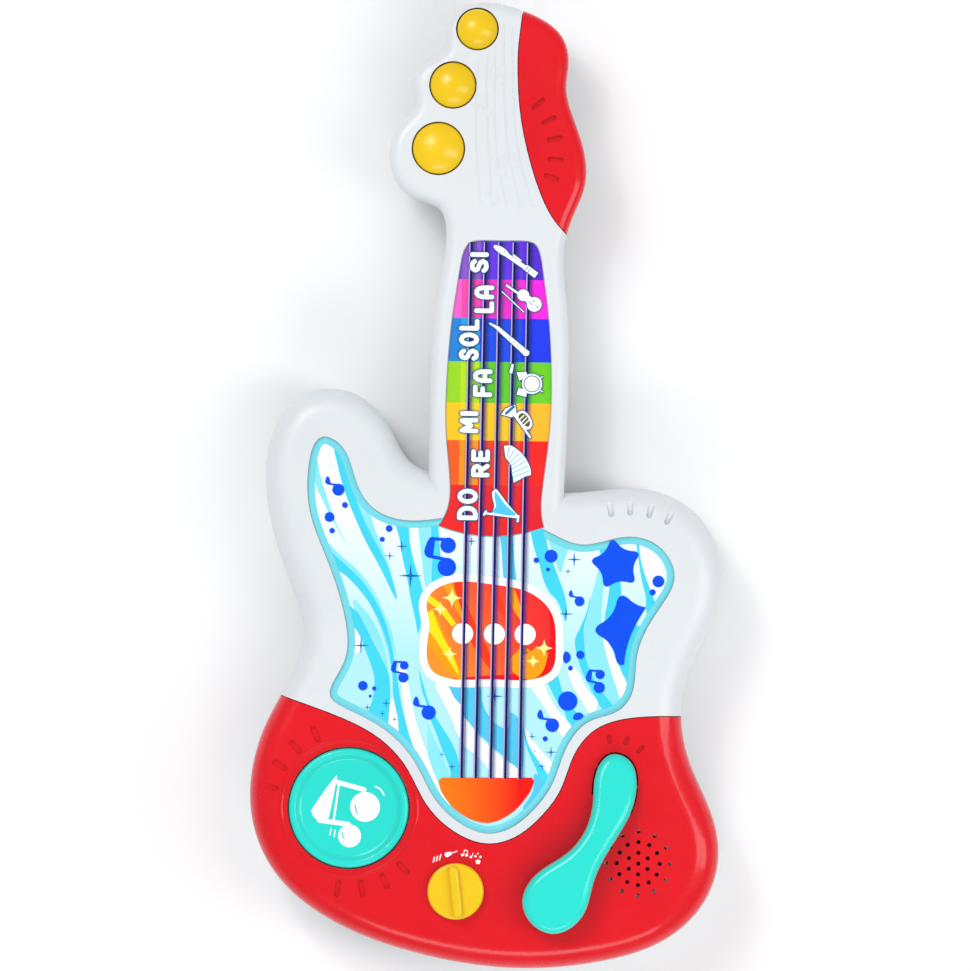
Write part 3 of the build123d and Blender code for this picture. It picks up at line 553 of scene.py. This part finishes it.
field = inset(label_edge, border)
prism("label_field", [field], 1, field_ink)
pale_waves = [
    [(-82, 12), (-80.3, 11), (-78.7, 3.5), (-76, -5), (-73.5, -12), (-71, -18.5), (-65.5, -29.5),
     (-70.5, -21), (-74, -15), (-77.5, -8), (-81, 0)],
    [(-67, 15), (-63, 6), (-59, -2), (-56, -9), (-54, -18), (-50, -28), (-46, -38), (-42.5, -53), (-47, -43),
     (-53, -31), (-60, -18), (-66, -4)],
    [(-32.6, -16), (-26.8, -16), (-26, -30), (-25.8, -47), (-29, -47), (-31, -34)],
    [(-75, -28), (-68, -34), (-60, -41), (-53, -50), (-48, -60), (-44, -70), (-42.5, -80), (-46, -78),
     (-50, -66), (-56, -54), (-65, -44), (-74, -36)],
    [(-62.5, -54), (-56, -60), (-51, -68), (-47.5, -77), (-45.8, -87), (-49, -80), (-54, -71), (-60, -64)],
    [(50, -22), (58, -22), (56, -34), (54, -46), (53, -60), (54, -70), (57, -80), (61, -90), (65, -104),
     (50, -99), (48.3, -86), (45.1, -71), (46.7, -57), (50, -44), (52, -32)],
    [(20, -22), (37, -24), (35.5, -34), (33.5, -40), (29.5, -30), (25.3, -19)],
    [(-27, -112), (-24, -118), (-19, -128), (-15, -138), (-8, -150), (-14, -152), (-21, -141), (-26, -128)],
]
cyan_waves = [
    [(-72.3, 17), (-70.6, 8), (-68, -1.5), (-64, -12), (-57.5, -26), (-50.5, -38.5), (-42.3, -53.8),
     (-45.5, -41), (-51.5, -29), (-57, -19), (-61.6, -8), (-64.2, 1), (-66, 8), (-66.5, 15)],
    [(-65.5, 14), (-62, 7), (-57.5, -1), (-53, -8), (-50.5, -12.5), (-55.5, -10), (-60, -3), (-63, 4)],
    [(-77, -29), (-68.5, -36), (-62, -41.8), (-56, -48.4), (-50.7, -57), (-47, -66), (-44.2, -76),
     (-42.4, -85), (-41, -93), (-39.6, -101.6), (-37.4, -110), (-35.2, -118), (-31, -128), (-38, -124),
     (-41, -116), (-40.6, -110), (-42, -103.7), (-43.3, -97.4), (-43.7, -89), (-44.8, -82.8), (-46.2, -74.5),
     (-50.2, -64), (-54.7, -56), (-60, -49), (-65.2, -43.6), (-74, -37)],
    [(-68, -55), (-60.5, -60), (-57, -66), (-53, -73.3), (-49, -80.8), (-45.8, -87.5), (-44.9, -93.3),
     (-44.6, -101.7), (-45.4, -108), (-45, -116), (-55, -110), (-52.7, -100), (-52, -91.5), (-53.5, -85),
     (-56.5, -77.5), (-59.5, -70), (-63, -66), (-68, -64)],
    [(-44.5, -14), (-41.5, -25), (-39.8, -34.4), (-37.6, -43.6), (-35.6, -54), (-33.6, -62), (-32, -69.3),
     (-30.3, -60.8), (-29.4, -53), (-31.7, -44.3), (-34.6, -35.8), (-36.6, -26.6), (-38.2, -14)],
    [(-26.8, -15), (-26.5, -25), (-26, -33), (-25.8, -47), (-21, -47), (-22, -35), (-23, -25), (-24, -15)],
    [(19.5, -18), (21, -28), (23.5, -35), (25.7, -43), (28.5, -49), (32.5, -53.3), (34.8, -59), (36.3, -62.5),
     (37, -59), (36.6, -54), (35, -48), (31.4, -38.6), (28, -29.6), (25, -18)],
    [(68.4, -23), (70.2, -35), (71.6, -43), (73.4, -50), (75, -60), (84, -60), (78.8, -54.5), (75.7, -47.5),
     (73.5, -42), (71, -34), (69.5, -23)],
    [(49, -23), (54, -34), (56.4, -45), (56, -52), (54.8, -60), (55, -66), (60, -66), (60.6, -55), (62, -49),
     (61.3, -42), (59, -33), (58, -23)],
    [(57, -71.5), (59.7, -77), (62, -83.3), (66.5, -92), (74, -92), (76, -74), (70, -64), (64, -66)],
    [(47.6, -50.5), (46.3, -57.8), (43.4, -65.2), (41.2, -70.3), (41.2, -75), (42.7, -80.6), (45.1, -87.4),
     (49, -94.2), (54, -103), (60, -103), (52.4, -93.4), (48.3, -85.6), (46.4, -80), (45.1, -71.4),
     (45.1, -64.7), (46.8, -57.8)],
    [(27, -88), (28.9, -92), (32.9, -99.8), (36.9, -105.5), (40, -114), (50, -110), (41.6, -104.4),
     (35.8, -95.9), (32.5, -87)],
    [(-31.4, -87), (-29.8, -96), (-27.8, -101.3), (-25.7, -109), (-22.8, -116), (-19.7, -124), (-16.6, -131),
     (-15, -138), (-10, -138), (-12, -130.5), (-13.3, -125), (-16.2, -119), (-19.3, -114.2), (-22.8, -108.8),
     (-26.6, -101.2), (-28.4, -96), (-30.6, -88.7)],
    [(17, -111), (19.5, -122), (23.5, -131), (27.5, -141), (32, -136), (26, -129), (21, -121)],
]
sky_waves = [
    [(-19, -93), (-10.3, -107), (-4.3, -114.2), (1.7, -120), (8.9, -126), (17, -132), (16.8, -112),
     (11.5, -105.5), (10.5, -113), (5, -111), (0.5, -106), (-2, -100), (-4, -93)],
    [(5.5, -20), (6.2, -30), (8, -46), (13, -46), (12, -34), (10.5, -20)],
    [(23, -134), (27, -138), (25.5, -146), (18, -150), (22.5, -142)],
]
white_waves = [
    [(-41, -84), (-39.8, -92), (-38.2, -105.5), (-35.4, -116.5), (-32, -125.5), (-26.5, -137.5),
     (-21, -146.5), (-13, -155.5), (-16, -149), (-20.5, -141), (-24.3, -132.5), (-28, -122.3), (-31, -114.5),
     (-34, -104), (-36.4, -92), (-38, -84)],
    [(-24, -93), (-20.5, -100), (-16.3, -108.2), (-12.4, -117), (-11, -114.5), (-11, -104), (-14.6, -99.2),
     (-18.5, -93)],
    [(-10.5, -108), (-4.3, -115.2), (1.7, -121), (8.9, -127), (15.5, -132), (14, -137), (4, -137), (1, -131),
     (-5, -125), (-10.5, -120)],
    [(18, -112.5), (22, -118), (27, -124), (32.5, -130.5), (31, -135.5), (25.8, -129), (20.5, -121)],
    [(21, -93.5), (25, -99.5), (30.5, -108), (35, -115.5), (37.8, -116.5), (40, -113.5), (39.3, -110.5),
     (33.5, -104), (28.8, -96.5), (27, -92)],
    [(37.5, -84), (40, -92), (44, -98.8), (49, -106), (52, -100), (46.5, -93.5), (42, -85)],
    [(53.8, -70), (56.5, -72), (61.7, -84), (65.2, -90.5), (66, -97), (62.5, -98), (59.8, -91), (56.2, -80)],
    [(-44.4, -100), (-43, -101), (-40.8, -111), (-41, -117), (-45, -113), (-45, -108)],
    [(-61.6, -68), (-59.8, -70), (-58, -76), (-61, -79), (-63, -74)],
    [(70, -24), (73, -38), (77, -50), (82, -46), (80, -34), (74, -26)],
]
for name, loops, layer, material in (
    ("wave_pale", pale_waves, 2, pale_ink), ("wave_cyan", cyan_waves, 3, cyan_ink),
    ("wave_sky", sky_waves, 4, sky_ink), ("wave_white", white_waves, 5, white_ink),
):
    prism(name, [smooth(loop, steps=6) for loop in loops], layer, material, inside=field)

# ---- the window's white margin, its lit colours, sparkles and round lights ----
window_edge = even(outlines("light_window")[0], 1.2)
prism("window_margin", [inset(window_edge, lambda x, y: -3.6)], 6, white_ink, inside=field)
prism("window_field", [window_edge], 7, finishes["window"])
prism("window_scarlet", [band(
    [(19, -43.6, 5), (27.5, -48, 5), (31, -56, 5.5), (32.4, -70, 6), (31, -83, 7), (25, -89, 6.4),
     (12, -90.4, 5.6), (-4, -90.6, 3.6), (-16, -90.6, 1)])], 8, scarlet_ink, inside=window_edge)
prism("window_flame", [band(points) for points in (
    [(-14, -44, 3), (-12, -56, 5), (-7, -68, 6), (0, -80, 4), (4, -88, 1)],
    [(2, -44, 3.4), (5, -54, 4), (9, -62, 0.6)],
)], 8.2, ink("flame_ink", srgb(255, 58, 8)), inside=window_edge)
prism("window_amber", [band(points) for points in (
    [(-29, -64, 13), (-22, -75, 8), (-15, -86, 5), (-9, -92, 1)],
    [(-20, -44, 5), (-15, -54, 3), (-10, -66, 0.6)],
    [(9, -44, 2.6), (13, -55, 4), (17, -64, 0.6)], [(13, -78, 11), (20, -83.5, 13), (26, -76, 6)],
)], 8.4, amber_ink, inside=window_edge)
prism("window_yellow", [band(points) for points in (
    [(-29, -52, 3), (-22, -57, 3), (-15.4, -65.2, 2.4)],
    [(-29, -60, 8), (-23, -70, 4), (-17, -80, 3), (-13, -88, 0.8)],
)], 8.6, yellow_ink, inside=window_edge)
glow_ink = ink("glow_ink", srgb(255, 246, 150))
for index, (x, y, size) in enumerate(
    ((-16.6, -52.5, 4.6), (-22.0, -57.8, 3.4), (-17.2, -78.6, 3.4), (26.6, -75.2, 4.0), (21.6, -81.4, 3.2))
):
    prism(f"window_glow_{index}", [disc(x, y, size * 0.42), sparkle(x, y, size, 0.3)], 8.8, glow_ink)
prism("window_lights", [disc(x, -69, 4.9) for x in (-11.4, 3.4, 17.7)], 9,
      ink("light_ink", srgb(244, 248, 252)))

# ---- notes, stars, dots and sparkles ----
for index, spot in enumerate(((-70.2, -3.0, 2.8), (-26.6, -106.0, 3.3), (42.8, -53.2, 2.3),
                              (31.0, -111.0, 3.2))):
    prism(f"note_{index}", note(*spot), 6, blue_ink)
for index, spot in enumerate(((-19.2, -38.2, 4.3), (-38.6, -89.9, 2.4), (52.6, -93.2, 2.6))):
    prism(f"double_note_{index}", double_note(*spot), 6, blue_ink)
prism("star_small", [star(59.6, -35.8, 13.2, 100)], 6, blue_ink)
star_limit = inset(label_edge, lambda x, y: 5.2)  # the large star stops short of the border
prism("star_large", [star(67.3, -66.4, 19.6, 108)], 6, blue_ink, inside=star_limit)
dots = (
    (-67.0, -10.1, 1.4), (-74.1, -15.8, 2.3), (-72.8, -22.1, 1.3), (-46.3, -20.7, 1.6), (-49.4, -25.8, 1.2),
    (-57.4, -94.0, 2.2), (-52.1, -95.2, 1.0), (-53.9, -98.8, 0.7), (22.4, -34.4, 1.3), (29.2, -32.4, 3.0),
    (27.8, -38.6, 0.9), (79.3, -43.4, 2.8), (76.7, -48.5, 1.5), (43.5, -78.1, 1.9), (39.0, -84.4, 1.2),
    (38.0, -99.7, 4.5), (27.8, -117.4, 1.2),
)
prism("dots", [disc(*dot) for dot in dots], 6, blue_ink)
prism("dot_right_half", [disc(36.2, -79.4, 2.9)], 6, blue_ink, inside=disc(39.2, -79.4, 3.8))
prism("dot_upper_half", [disc(43.2, -107.5, 2.6)], 6, blue_ink, inside=disc(42.3, -104.9, 3.6))
sparkles = (
    (-40.4, -28.9, 2.9), (-45.8, -33.4, 2.3), (-36.0, -42.5, 5.6), (-7.8, -26.0, 2.5), (-58.6, -75.3, 3.8),
    (-55.2, -104.1, 1.7), (-46.4, -102.0, 2.2), (-48.0, -106.8, 1.4), (-42.4, -109.4, 1.7),
    (40.0, -33.8, 3.5), (37.2, -39.4, 1.7), (36.6, -59.2, 3.3), (4.1, -98.0, 3.9), (-20.2, -125.4, 1.2),
    (-15.4, -131.0, 1.9), (21.6, -116.5, 2.1), (23.0, -123.2, 1.2), (30.6, -123.6, 2.8),
    (26.6, -130.2, 2.2),
)
prism("sparkles", [sparkle(*spot) for spot in sparkles], 6.2, spark_ink)

# ---- bridge, strings ----
bridge = smooth([(-21.4, -137.4), (-20.0, -143.0), (-13.5, -151.0), (-4.0, -156.2), (4.6, -156.4),
                 (13.8, -151.2), (20.6, -143.0), (23.0, -137.0)], closed=False)
bridge = [(-19.8, -136.2)] + bridge + [(21.8, -135.6)]
prism("bridge", [bridge], 7, bridge_ink)
# x of each string at the head end and at the bridge
STRINGS = ((-10.0, -10.9), (-3.3, -4.3), (3.4, 2.7), (10.1, 9.4), (16.8, 16.2))
NUT = 113.2  # where the strings start at the head end
BRIDGE_TOP = -136.2


def string_strip(index, offset, width):
    """A strip along one string, moved to the right by the offset."""
    top, bottom = STRINGS[index]
    left, right = offset - width / 2, offset + width / 2
    return [(top + left, NUT), (bottom + left, BRIDGE_TOP), (bottom + right, BRIDGE_TOP), (top + right, NUT)]


everyone = range(len(STRINGS))
for name, shift, width, layer, clear in (
    ("string_halos", 1.2, 2.6, 9.2, 0.1), ("string_shadows", 0.9, 1.5, 9.25, 0.18),
):
    shadow = ink(name, srgb(40, 60, 150))
    shadow.node_tree.nodes["Principled BSDF"].inputs["Alpha"].default_value = clear
    prism(name, [string_strip(i, shift, width) for i in everyone], layer, shadow, thick=LAYER * 0.02)
prism("string_shines", [string_strip(i, -0.75, 0.55) for i in everyone], 9.3, lilac_ink)
prism("strings", [string_strip(i, 0.0, 1.05) for i in everyone], 9.3, navy_ink)

# ---- note names, reading up the neck, in a plain round-ended hand ----
# Strokes of each letter in a box one wide and one high, and how wide the box is beside the others.
LETTERS = {
    "A": (1.0, [[(0, 0), (0, 0.62), (0.13, 0.88), (0.36, 1), (0.64, 1), (0.87, 0.88), (1, 0.62), (1, 0)],
                [(0, 0.36), (1, 0.36)]]),
    "D": (1.0, [[(0, 0), (0, 1), (0.4, 1), (0.72, 0.92), (0.93, 0.74), (1, 0.5), (0.93, 0.26), (0.72, 0.08),
                 (0.4, 0), (0, 0)]]),
    "E": (0.85, [[(1, 1), (0, 1), (0, 0), (1, 0)], [(0, 0.5), (0.85, 0.5)]]),
    "F": (0.85, [[(1, 1), (0, 1), (0, 0)], [(0, 0.5), (0.8, 0.5)]]),
    "I": (0.0, [[(0, 0), (0, 1)]]),
    "L": (0.8, [[(0, 1), (0, 0), (1, 0)]]),
    "M": (1.3, [[(0, 0), (0.06, 1), (0.5, 0.36), (0.94, 1), (1, 0)]]),
    "O": (1.1, [[(0.5 + 0.5 * cos(radians(30 * turn)), 0.5 + 0.5 * sin(radians(30 * turn)))
                 for turn in range(13)]]),
    "R": (0.95, [[(0, 0), (0, 1), (0.55, 1), (0.86, 0.92), (0.98, 0.74), (0.86, 0.56), (0.55, 0.48),
                  (0, 0.48)],
                 [(0.5, 0.48), (1, 0)]]),
    "S": (0.9, [[(0.96, 0.82), (0.78, 0.95), (0.5, 1), (0.2, 0.94), (0.05, 0.76), (0.16, 0.6), (0.5, 0.52),
                 (0.84, 0.42), (0.97, 0.25), (0.82, 0.06), (0.5, 0), (0.2, 0.04), (0.02, 0.18)]]),
}
PEN = 2.1  # width of a letter's stroke
LETTER_GAP = 0.9


def lettering(word, x, y, length, height, layer, extra, material):
    """A word that reads towards the head, its middle at a spot; extra widens the pen for the dark edge."""
    step = PEN + LETTER_GAP
    unit = (length - PEN - step * (len(word) - 1)) / sum(LETTERS[letter][0] for letter in word)
    rise = height - PEN
    loops = []
    start = y - length / 2 + PEN / 2
    for letter in word:
        wide, strokes = LETTERS[letter]
        for stroke in strokes:
            spots = [(x + rise * (0.5 - up), start + unit * wide * along) for along, up in stroke]
            loops += [bar(*a, *b, PEN + extra) for a, b in zip(spots, spots[1:])]
        start += unit * wide + step
    prism(f"name_{word}_{layer}", loops, layer, material)


NAMES = (
    ("DO", -10.0, -8.9, 14.6, 9.6), ("RE", -4.3, 10.3, 13.0, 8.6), ("MI", -9.9, 29.3, 10.2, 8.8),
    ("FA", -3.8, 47.6, 12.8, 9.0), ("SOL", -10.5, 67.6, 19.4, 9.4), ("LA", -3.7, 86.6, 12.8, 9.2),
    ("SI", -6.3, 103.6, 9.6, 8.8),
)
for entry in NAMES:
    lettering(*entry, 12, 0.8, outline_ink)
    lettering(*entry, 13, 0.0, white_ink)

# ---- pictures of instruments on the neck: a dark edge, white inside, then small details ----
icons = {
    "clarinet": [
        smooth([(0.3, 111.3), (1.3, 111.9), (4.4, 110.9), (7.0, 108.7), (7.2, 107.4), (6.2, 106.6),
                (3.7, 107.8), (1.1, 109.8)]),
        bar(6.6, 107.3, 15.6, 101.3, 1.9), bar(9.6, 107.3, 13.0, 104.8, 0.8),
        [(14.3, 100.8), (15.9, 103.0), (21.2, 99.2), (19.5, 96.9)],
    ],
    "violin": [
        bar(6.6, 93.2, 12.0, 89.6, 0.9), disc(14.4, 88.8, 2.7), disc(19.6, 84.6, 3.4),
        bar(14.4, 88.8, 19.6, 84.6, 3.3),
    ],
    "bow": [bar(4.6, 90.2, 14.7, 81.0, 0.45)],
    "recorder": [bar(-0.9, 75.4, 2.7, 73.4, 0.7, 1.5), [(2.2, 74.2), (3.1, 72.6), (15.6, 60.4), (17.8, 62.4)],
                 bar(2.6, 73.4, 16.2, 61.9, 1.7, 2.7)],
    "drum_kit": [
        disc(19.1, 47.6, 4.7), [(11.9, 52.8), (16.2, 53.2), (17.2, 51.0), (13.2, 49.0)],
        [(13.0, 45.8), (12.0, 42.5), (16.4, 41.5), (17.0, 44.2)], bar(9.2, 52.9, 9.9, 56.2, 1.4, 1.0),
        bar(22.0, 50.0, 24.0, 51.0, 0.5), bar(22.2, 45.0, 24.2, 44.0, 0.5),
    ],
    "trumpet": [
        [(5.0, 33.1), (6.9, 35.9), (11.4, 37.8), (12.2, 33.2), (9.8, 31.9), (7.0, 32.6)],
        bar(11.4, 32.6, 18.6, 22.8, 0.9),
        smooth([(11.8, 32.4), (13.2, 34.6), (15.4, 34.9), (17.6, 33.2), (19.3, 30.2), (19.4, 28.0),
                (17.8, 26.4), (15.8, 26.8), (13.4, 29.2)]),
    ],
    "accordion": [
        smooth([(6.5, 18.6), (10.0, 18.6), (14.4, 15.6), (17.3, 11.8), (19.0, 8.0), (19.2, 5.2)],
               closed=False)
        + [(16.8, 4.6), (11.3, 1.5)] + smooth([(11.0, 3.5), (10.5, 6.0), (9.9, 9.8), (7.3, 13.1)],
                                              closed=False),
    ],
    "harp": [
        smooth([(2.6, -1.7), (3.8, -2.2), (8.5, -8.2), (13.9, -14.2)], closed=False)
        + [(13.4, -15.0)] + smooth([(1.2, -13.2), (2.4, -9.5), (1.6, -6.0), (1.3, -3.0)], closed=False),
        bar(-1.8, -12.9, 13.4, -14.6, 0.9), bar(-2.3, -13.6, -1.4, -12.0, 0.9),
        bar(13.7, -14.0, 13.4, -16.4, 1.0),
    ],
}
for name, loops in icons.items():
    prism(f"icon_{name}_edge", [inset(even(loop, 0.3), lambda x, y: -0.4) for loop in loops], 9.5,
          outline_ink)
    prism(f"icon_{name}", loops, 10.2, white_ink)
prism("harp_sail", [smooth([(3.0, -2.9), (7.6, -8.8), (12.4, -13.6), (2.2, -12.6), (3.2, -9.5),
                            (2.5, -5.6)])], 11, sky_ink)
prism("drum_kit_rim", [disc(19.1, 47.6, 3.9)], 11, outline_ink)
prism("drum_kit_skin", [disc(19.1, 47.6, 3.5)], 12, white_ink)
prism("trumpet_bell", [bar(7.3, 33.7, 10.7, 36.8, 1.2)], 11, ink("bell_ink", srgb(24, 108, 168)))
trumpet_hollow = smooth([(13.0, 32.2), (14.2, 33.8), (15.6, 33.7), (17.2, 32.2), (18.4, 29.8), (18.3, 28.4),
                         (17.4, 27.6), (16.0, 28.2), (14.2, 30.0)])
prism("trumpet_loop", [trumpet_hollow], 11, ink("shade_ink", srgb(92, 86, 40)))
valves = ((13.7, 31.0), (14.8, 29.8), (15.9, 28.7))
prism("trumpet_valves", [bar(x, y, x + 1.9, y + 1.9, 0.55) for x, y in valves], 12, white_ink)
prism("accordion_folds", [bar(*ends, 0.35) for ends in (
    (8.0, 13.6, 9.0, 17.9), (9.0, 12.4, 11.5, 17.0), (9.6, 11.0, 13.6, 15.4), (10.0, 9.4, 15.2, 13.6),
    (10.3, 7.8, 16.6, 11.6), (10.6, 6.0, 17.7, 9.4), (11.0, 4.0, 18.5, 7.2))], 11, sky_ink)
prism("instrument_lines", [bar(*ends, 0.3) for ends in (
    (17.2, 85.8, 18.6, 84.2), (19.8, 86.6, 18.8, 85.6), (20.2, 84.0, 21.6, 83.0), (5.2, 109.2, 5.8, 108.8),
    (16.4, 102.0, 15.2, 100.4), (17.6, 101.2, 16.4, 99.4), (8.2, 68.9, 8.6, 68.4), (10.2, 67.2, 10.6, 66.7),
    (12.0, 65.6, 12.4, 65.1))], 11, outline_ink)

# ======================= lifted prints and fine relief on buttons and covers =======================
drum_low, drum_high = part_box("drum_button")
drum_x, drum_y = (drum_low[0] + drum_high[0]) / 2 / MM, (drum_low[1] + drum_high[1]) / 2 / MM
dish = drum_high[2] - DISH_DEPTH
drum_art = {
    "drum_note": [
        disc(7.6, 0.6, 6.9), disc(0.6, -13.0, 5.3), bar(-6.6, 12.2, 7.0, 8.6, 2.2),
        bar(-13.6, -6.0, 0.0, -7.6, 2.2),
        smooth([(-7.0, 13.8), (-6.0, 12.4), (-9.4, -5.2), (-11.2, -6.8), (-15.4, -5.2), (-17.0, -2.6),
                (-16.6, 0.0)]),
        bar(-4.8, 10.4, -7.0, -6.4, 1.0),
    ],
    "drum_note_marks": [
        bar(12.4, 10.2, 14.8, 8.8, 0.7), bar(14.8, 8.8, 16.4, 6.2, 0.7), bar(-6.2, -10.4, -6.6, -13.6, 0.6),
        bar(-8.0, -9.8, -8.6, -12.6, 0.6),
    ],
}
for name, loops in drum_art.items():
    prism(name, [[(drum_x + x, drum_y + y) for x, y in loop] for loop in loops], 0.2, white_ink, dish, LAYER,
          "drum")
prism("drum_note_lines", [[(drum_x + x, drum_y + y) for x, y in loop] for loop in (
    smooth([(2.6, 1.4), (3.4, -1.6), (4.6, -3.2), (3.9, -1.2), (3.2, 1.2)]),
    smooth([(-3.2, -11.4), (-2.6, -13.6), (-1.6, -15.2), (-2.2, -13.2), (-2.6, -11.4)]),
)], 1.4, ink("drum_line_ink", srgb(60, 200, 190)), dish, LAYER, "drum")

lower_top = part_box("lower_cover")[1][2] - COLLAR_HEIGHT
knob_marks = [
    bar(-23.4, -175.4, -22.9, -173.2, 0.6), bar(-22.0, -174.9, -21.4, -172.7, 0.6),
    bar(-20.6, -174.4, -19.9, -172.0, 0.6),
    disc(-17.0, -171.9, 1.2), disc(-15.7, -171.4, 0.9), bar(-15.4, -171.3, -12.4, -170.2, 0.45),
    disc(-9.9, -171.9, 0.7), bar(-9.3, -171.8, -9.0, -169.6, 0.35), bar(-9.0, -169.6, -7.6, -170.0, 0.4),
    bar(-7.6, -170.0, -7.5, -171.8, 0.35), disc(-8.0, -172.0, 0.7), disc(-6.0, -172.8, 0.6),
    bar(-5.5, -172.7, -5.0, -171.0, 0.35), star(-2.6, -175.0, 1.5, 90), disc(-3.8, -172.4, 0.55),
    disc(-1.5, -172.7, 0.55), disc(-2.7, -171.2, 0.4),
]
prism("knob_marks", knob_marks, 0.2, white_ink, lower_top, LAYER)

head_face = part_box("front_shell")[1][2]
relief = [band([(x, y, 0.45) for x, y in spots], steps=4) for spots in (
    [(-6.2, 130.6), (-8.0, 150), (-8.9, 169.2), (-8.3, 197)],
    [(-0.5, 130), (-3.1, 162), (-4.3, 190.7), (-3.0, 202)],
    [(5.9, 130), (0.5, 158.6), (-0.4, 190.8), (-0.2, 205)],
    [(12.4, 130), (5.9, 158.7), (3.9, 190.8), (3.5, 215)],
    [(18.1, 130), (10.5, 158.7), (7.9, 190.9), (7.5, 213)],
)]
for spot in ((-3.4, 174.0, 1.9), (9.0, 150.0, 2.0), (0.5, 133.5, 1.9)):
    relief += note(*spot)
for spot in ((2.6, 188.5, 2.1), (3.6, 146.0, 2.1)):
    relief += double_note(*spot)
prism("head_relief", relief, 0, white_shell, head_face, RELIEF_HEIGHT)

# ======================= floor, light, camera =======================
floor_mesh = bpy.data.meshes.new("floor")
side = 6.0
FLOOR_DROP = 0.4 * MM  # keeps the floor clear of the toy's flat back
floor_mesh.from_pydata([(-side, -side, 0), (side, -side, 0), (side, side, 0), (-side, side, 0)], [],
                       [(0, 1, 2, 3)])
floor = bpy.data.objects.new("floor", floor_mesh)
floor.location.z = -FLOOR_DROP
bpy.context.collection.objects.link(floor)
floor_look = Nodes("floor_paper")
floor_look.join(
    floor_look.ramp(floor_look.noise(3.0), [(0.3, (0.88, 0.88, 0.885, 1)), (0.7, (0.92, 0.92, 0.92, 1))]),
    floor_look.shader.inputs["Base Color"],
)
floor_look.shader.inputs["Roughness"].default_value = 0.9
floor_mesh.materials.append(floor_look.material)


def softbox(name, spot, target, size, power):
    """A white area lamp at a spot, turned to its target."""
    lamp = bpy.data.lights.new(name, "AREA")
    lamp.shape = "RECTANGLE"
    lamp.size, lamp.size_y = size
    lamp.energy = power
    holder = bpy.data.objects.new(name, lamp)
    holder.location = spot
    aim = Vector(target) - Vector(spot)
    holder.rotation_euler = aim.to_track_quat("-Z", "Y").to_euler()
    bpy.context.collection.objects.link(holder)


softbox("key_light", (-0.8, 0.9, 1.5), (0, 0, 0), (0.9, 0.9), 12.5)
softbox("glint_light", (-0.55, 0.75, 1.2), (0, 0, 0), (0.12, 0.3), 1.6)
softbox("fill_light", (1.1, -0.2, 1.3), (0, 0, 0), (0.5, 1.3), 8)
softbox("foot_light", (0.1, -1.3, 1.0), (0, -0.1, 0), (1.2, 0.4), 6)

world = bpy.data.worlds.new("studio")
scene.world = world
world.use_nodes = True
world.node_tree.nodes["Background"].inputs["Color"].default_value = (0.97, 0.98, 1.0, 1)
world.node_tree.nodes["Background"].inputs["Strength"].default_value = 0.55

FRAME_WIDTH = 453.9425 * MM  # width that the picture covers at half the toy's height
HALF_THICKNESS = 30 * MM
LEAN = radians(0.88)  # the toy leans a little clockwise in the picture
CAMERA_HEIGHT = 3.0
SENSOR = 36.0
camera_data = bpy.data.cameras.new("camera")
camera_data.sensor_width = SENSOR
camera_data.lens = SENSOR * (CAMERA_HEIGHT - HALF_THICKNESS) / FRAME_WIDTH
camera = bpy.data.objects.new("camera", camera_data)
camera.location = (-1.8 * MM, 0.0, CAMERA_HEIGHT)
camera.rotation_euler = (0, 0, LEAN)
bpy.context.collection.objects.link(camera)
scene.camera = camera
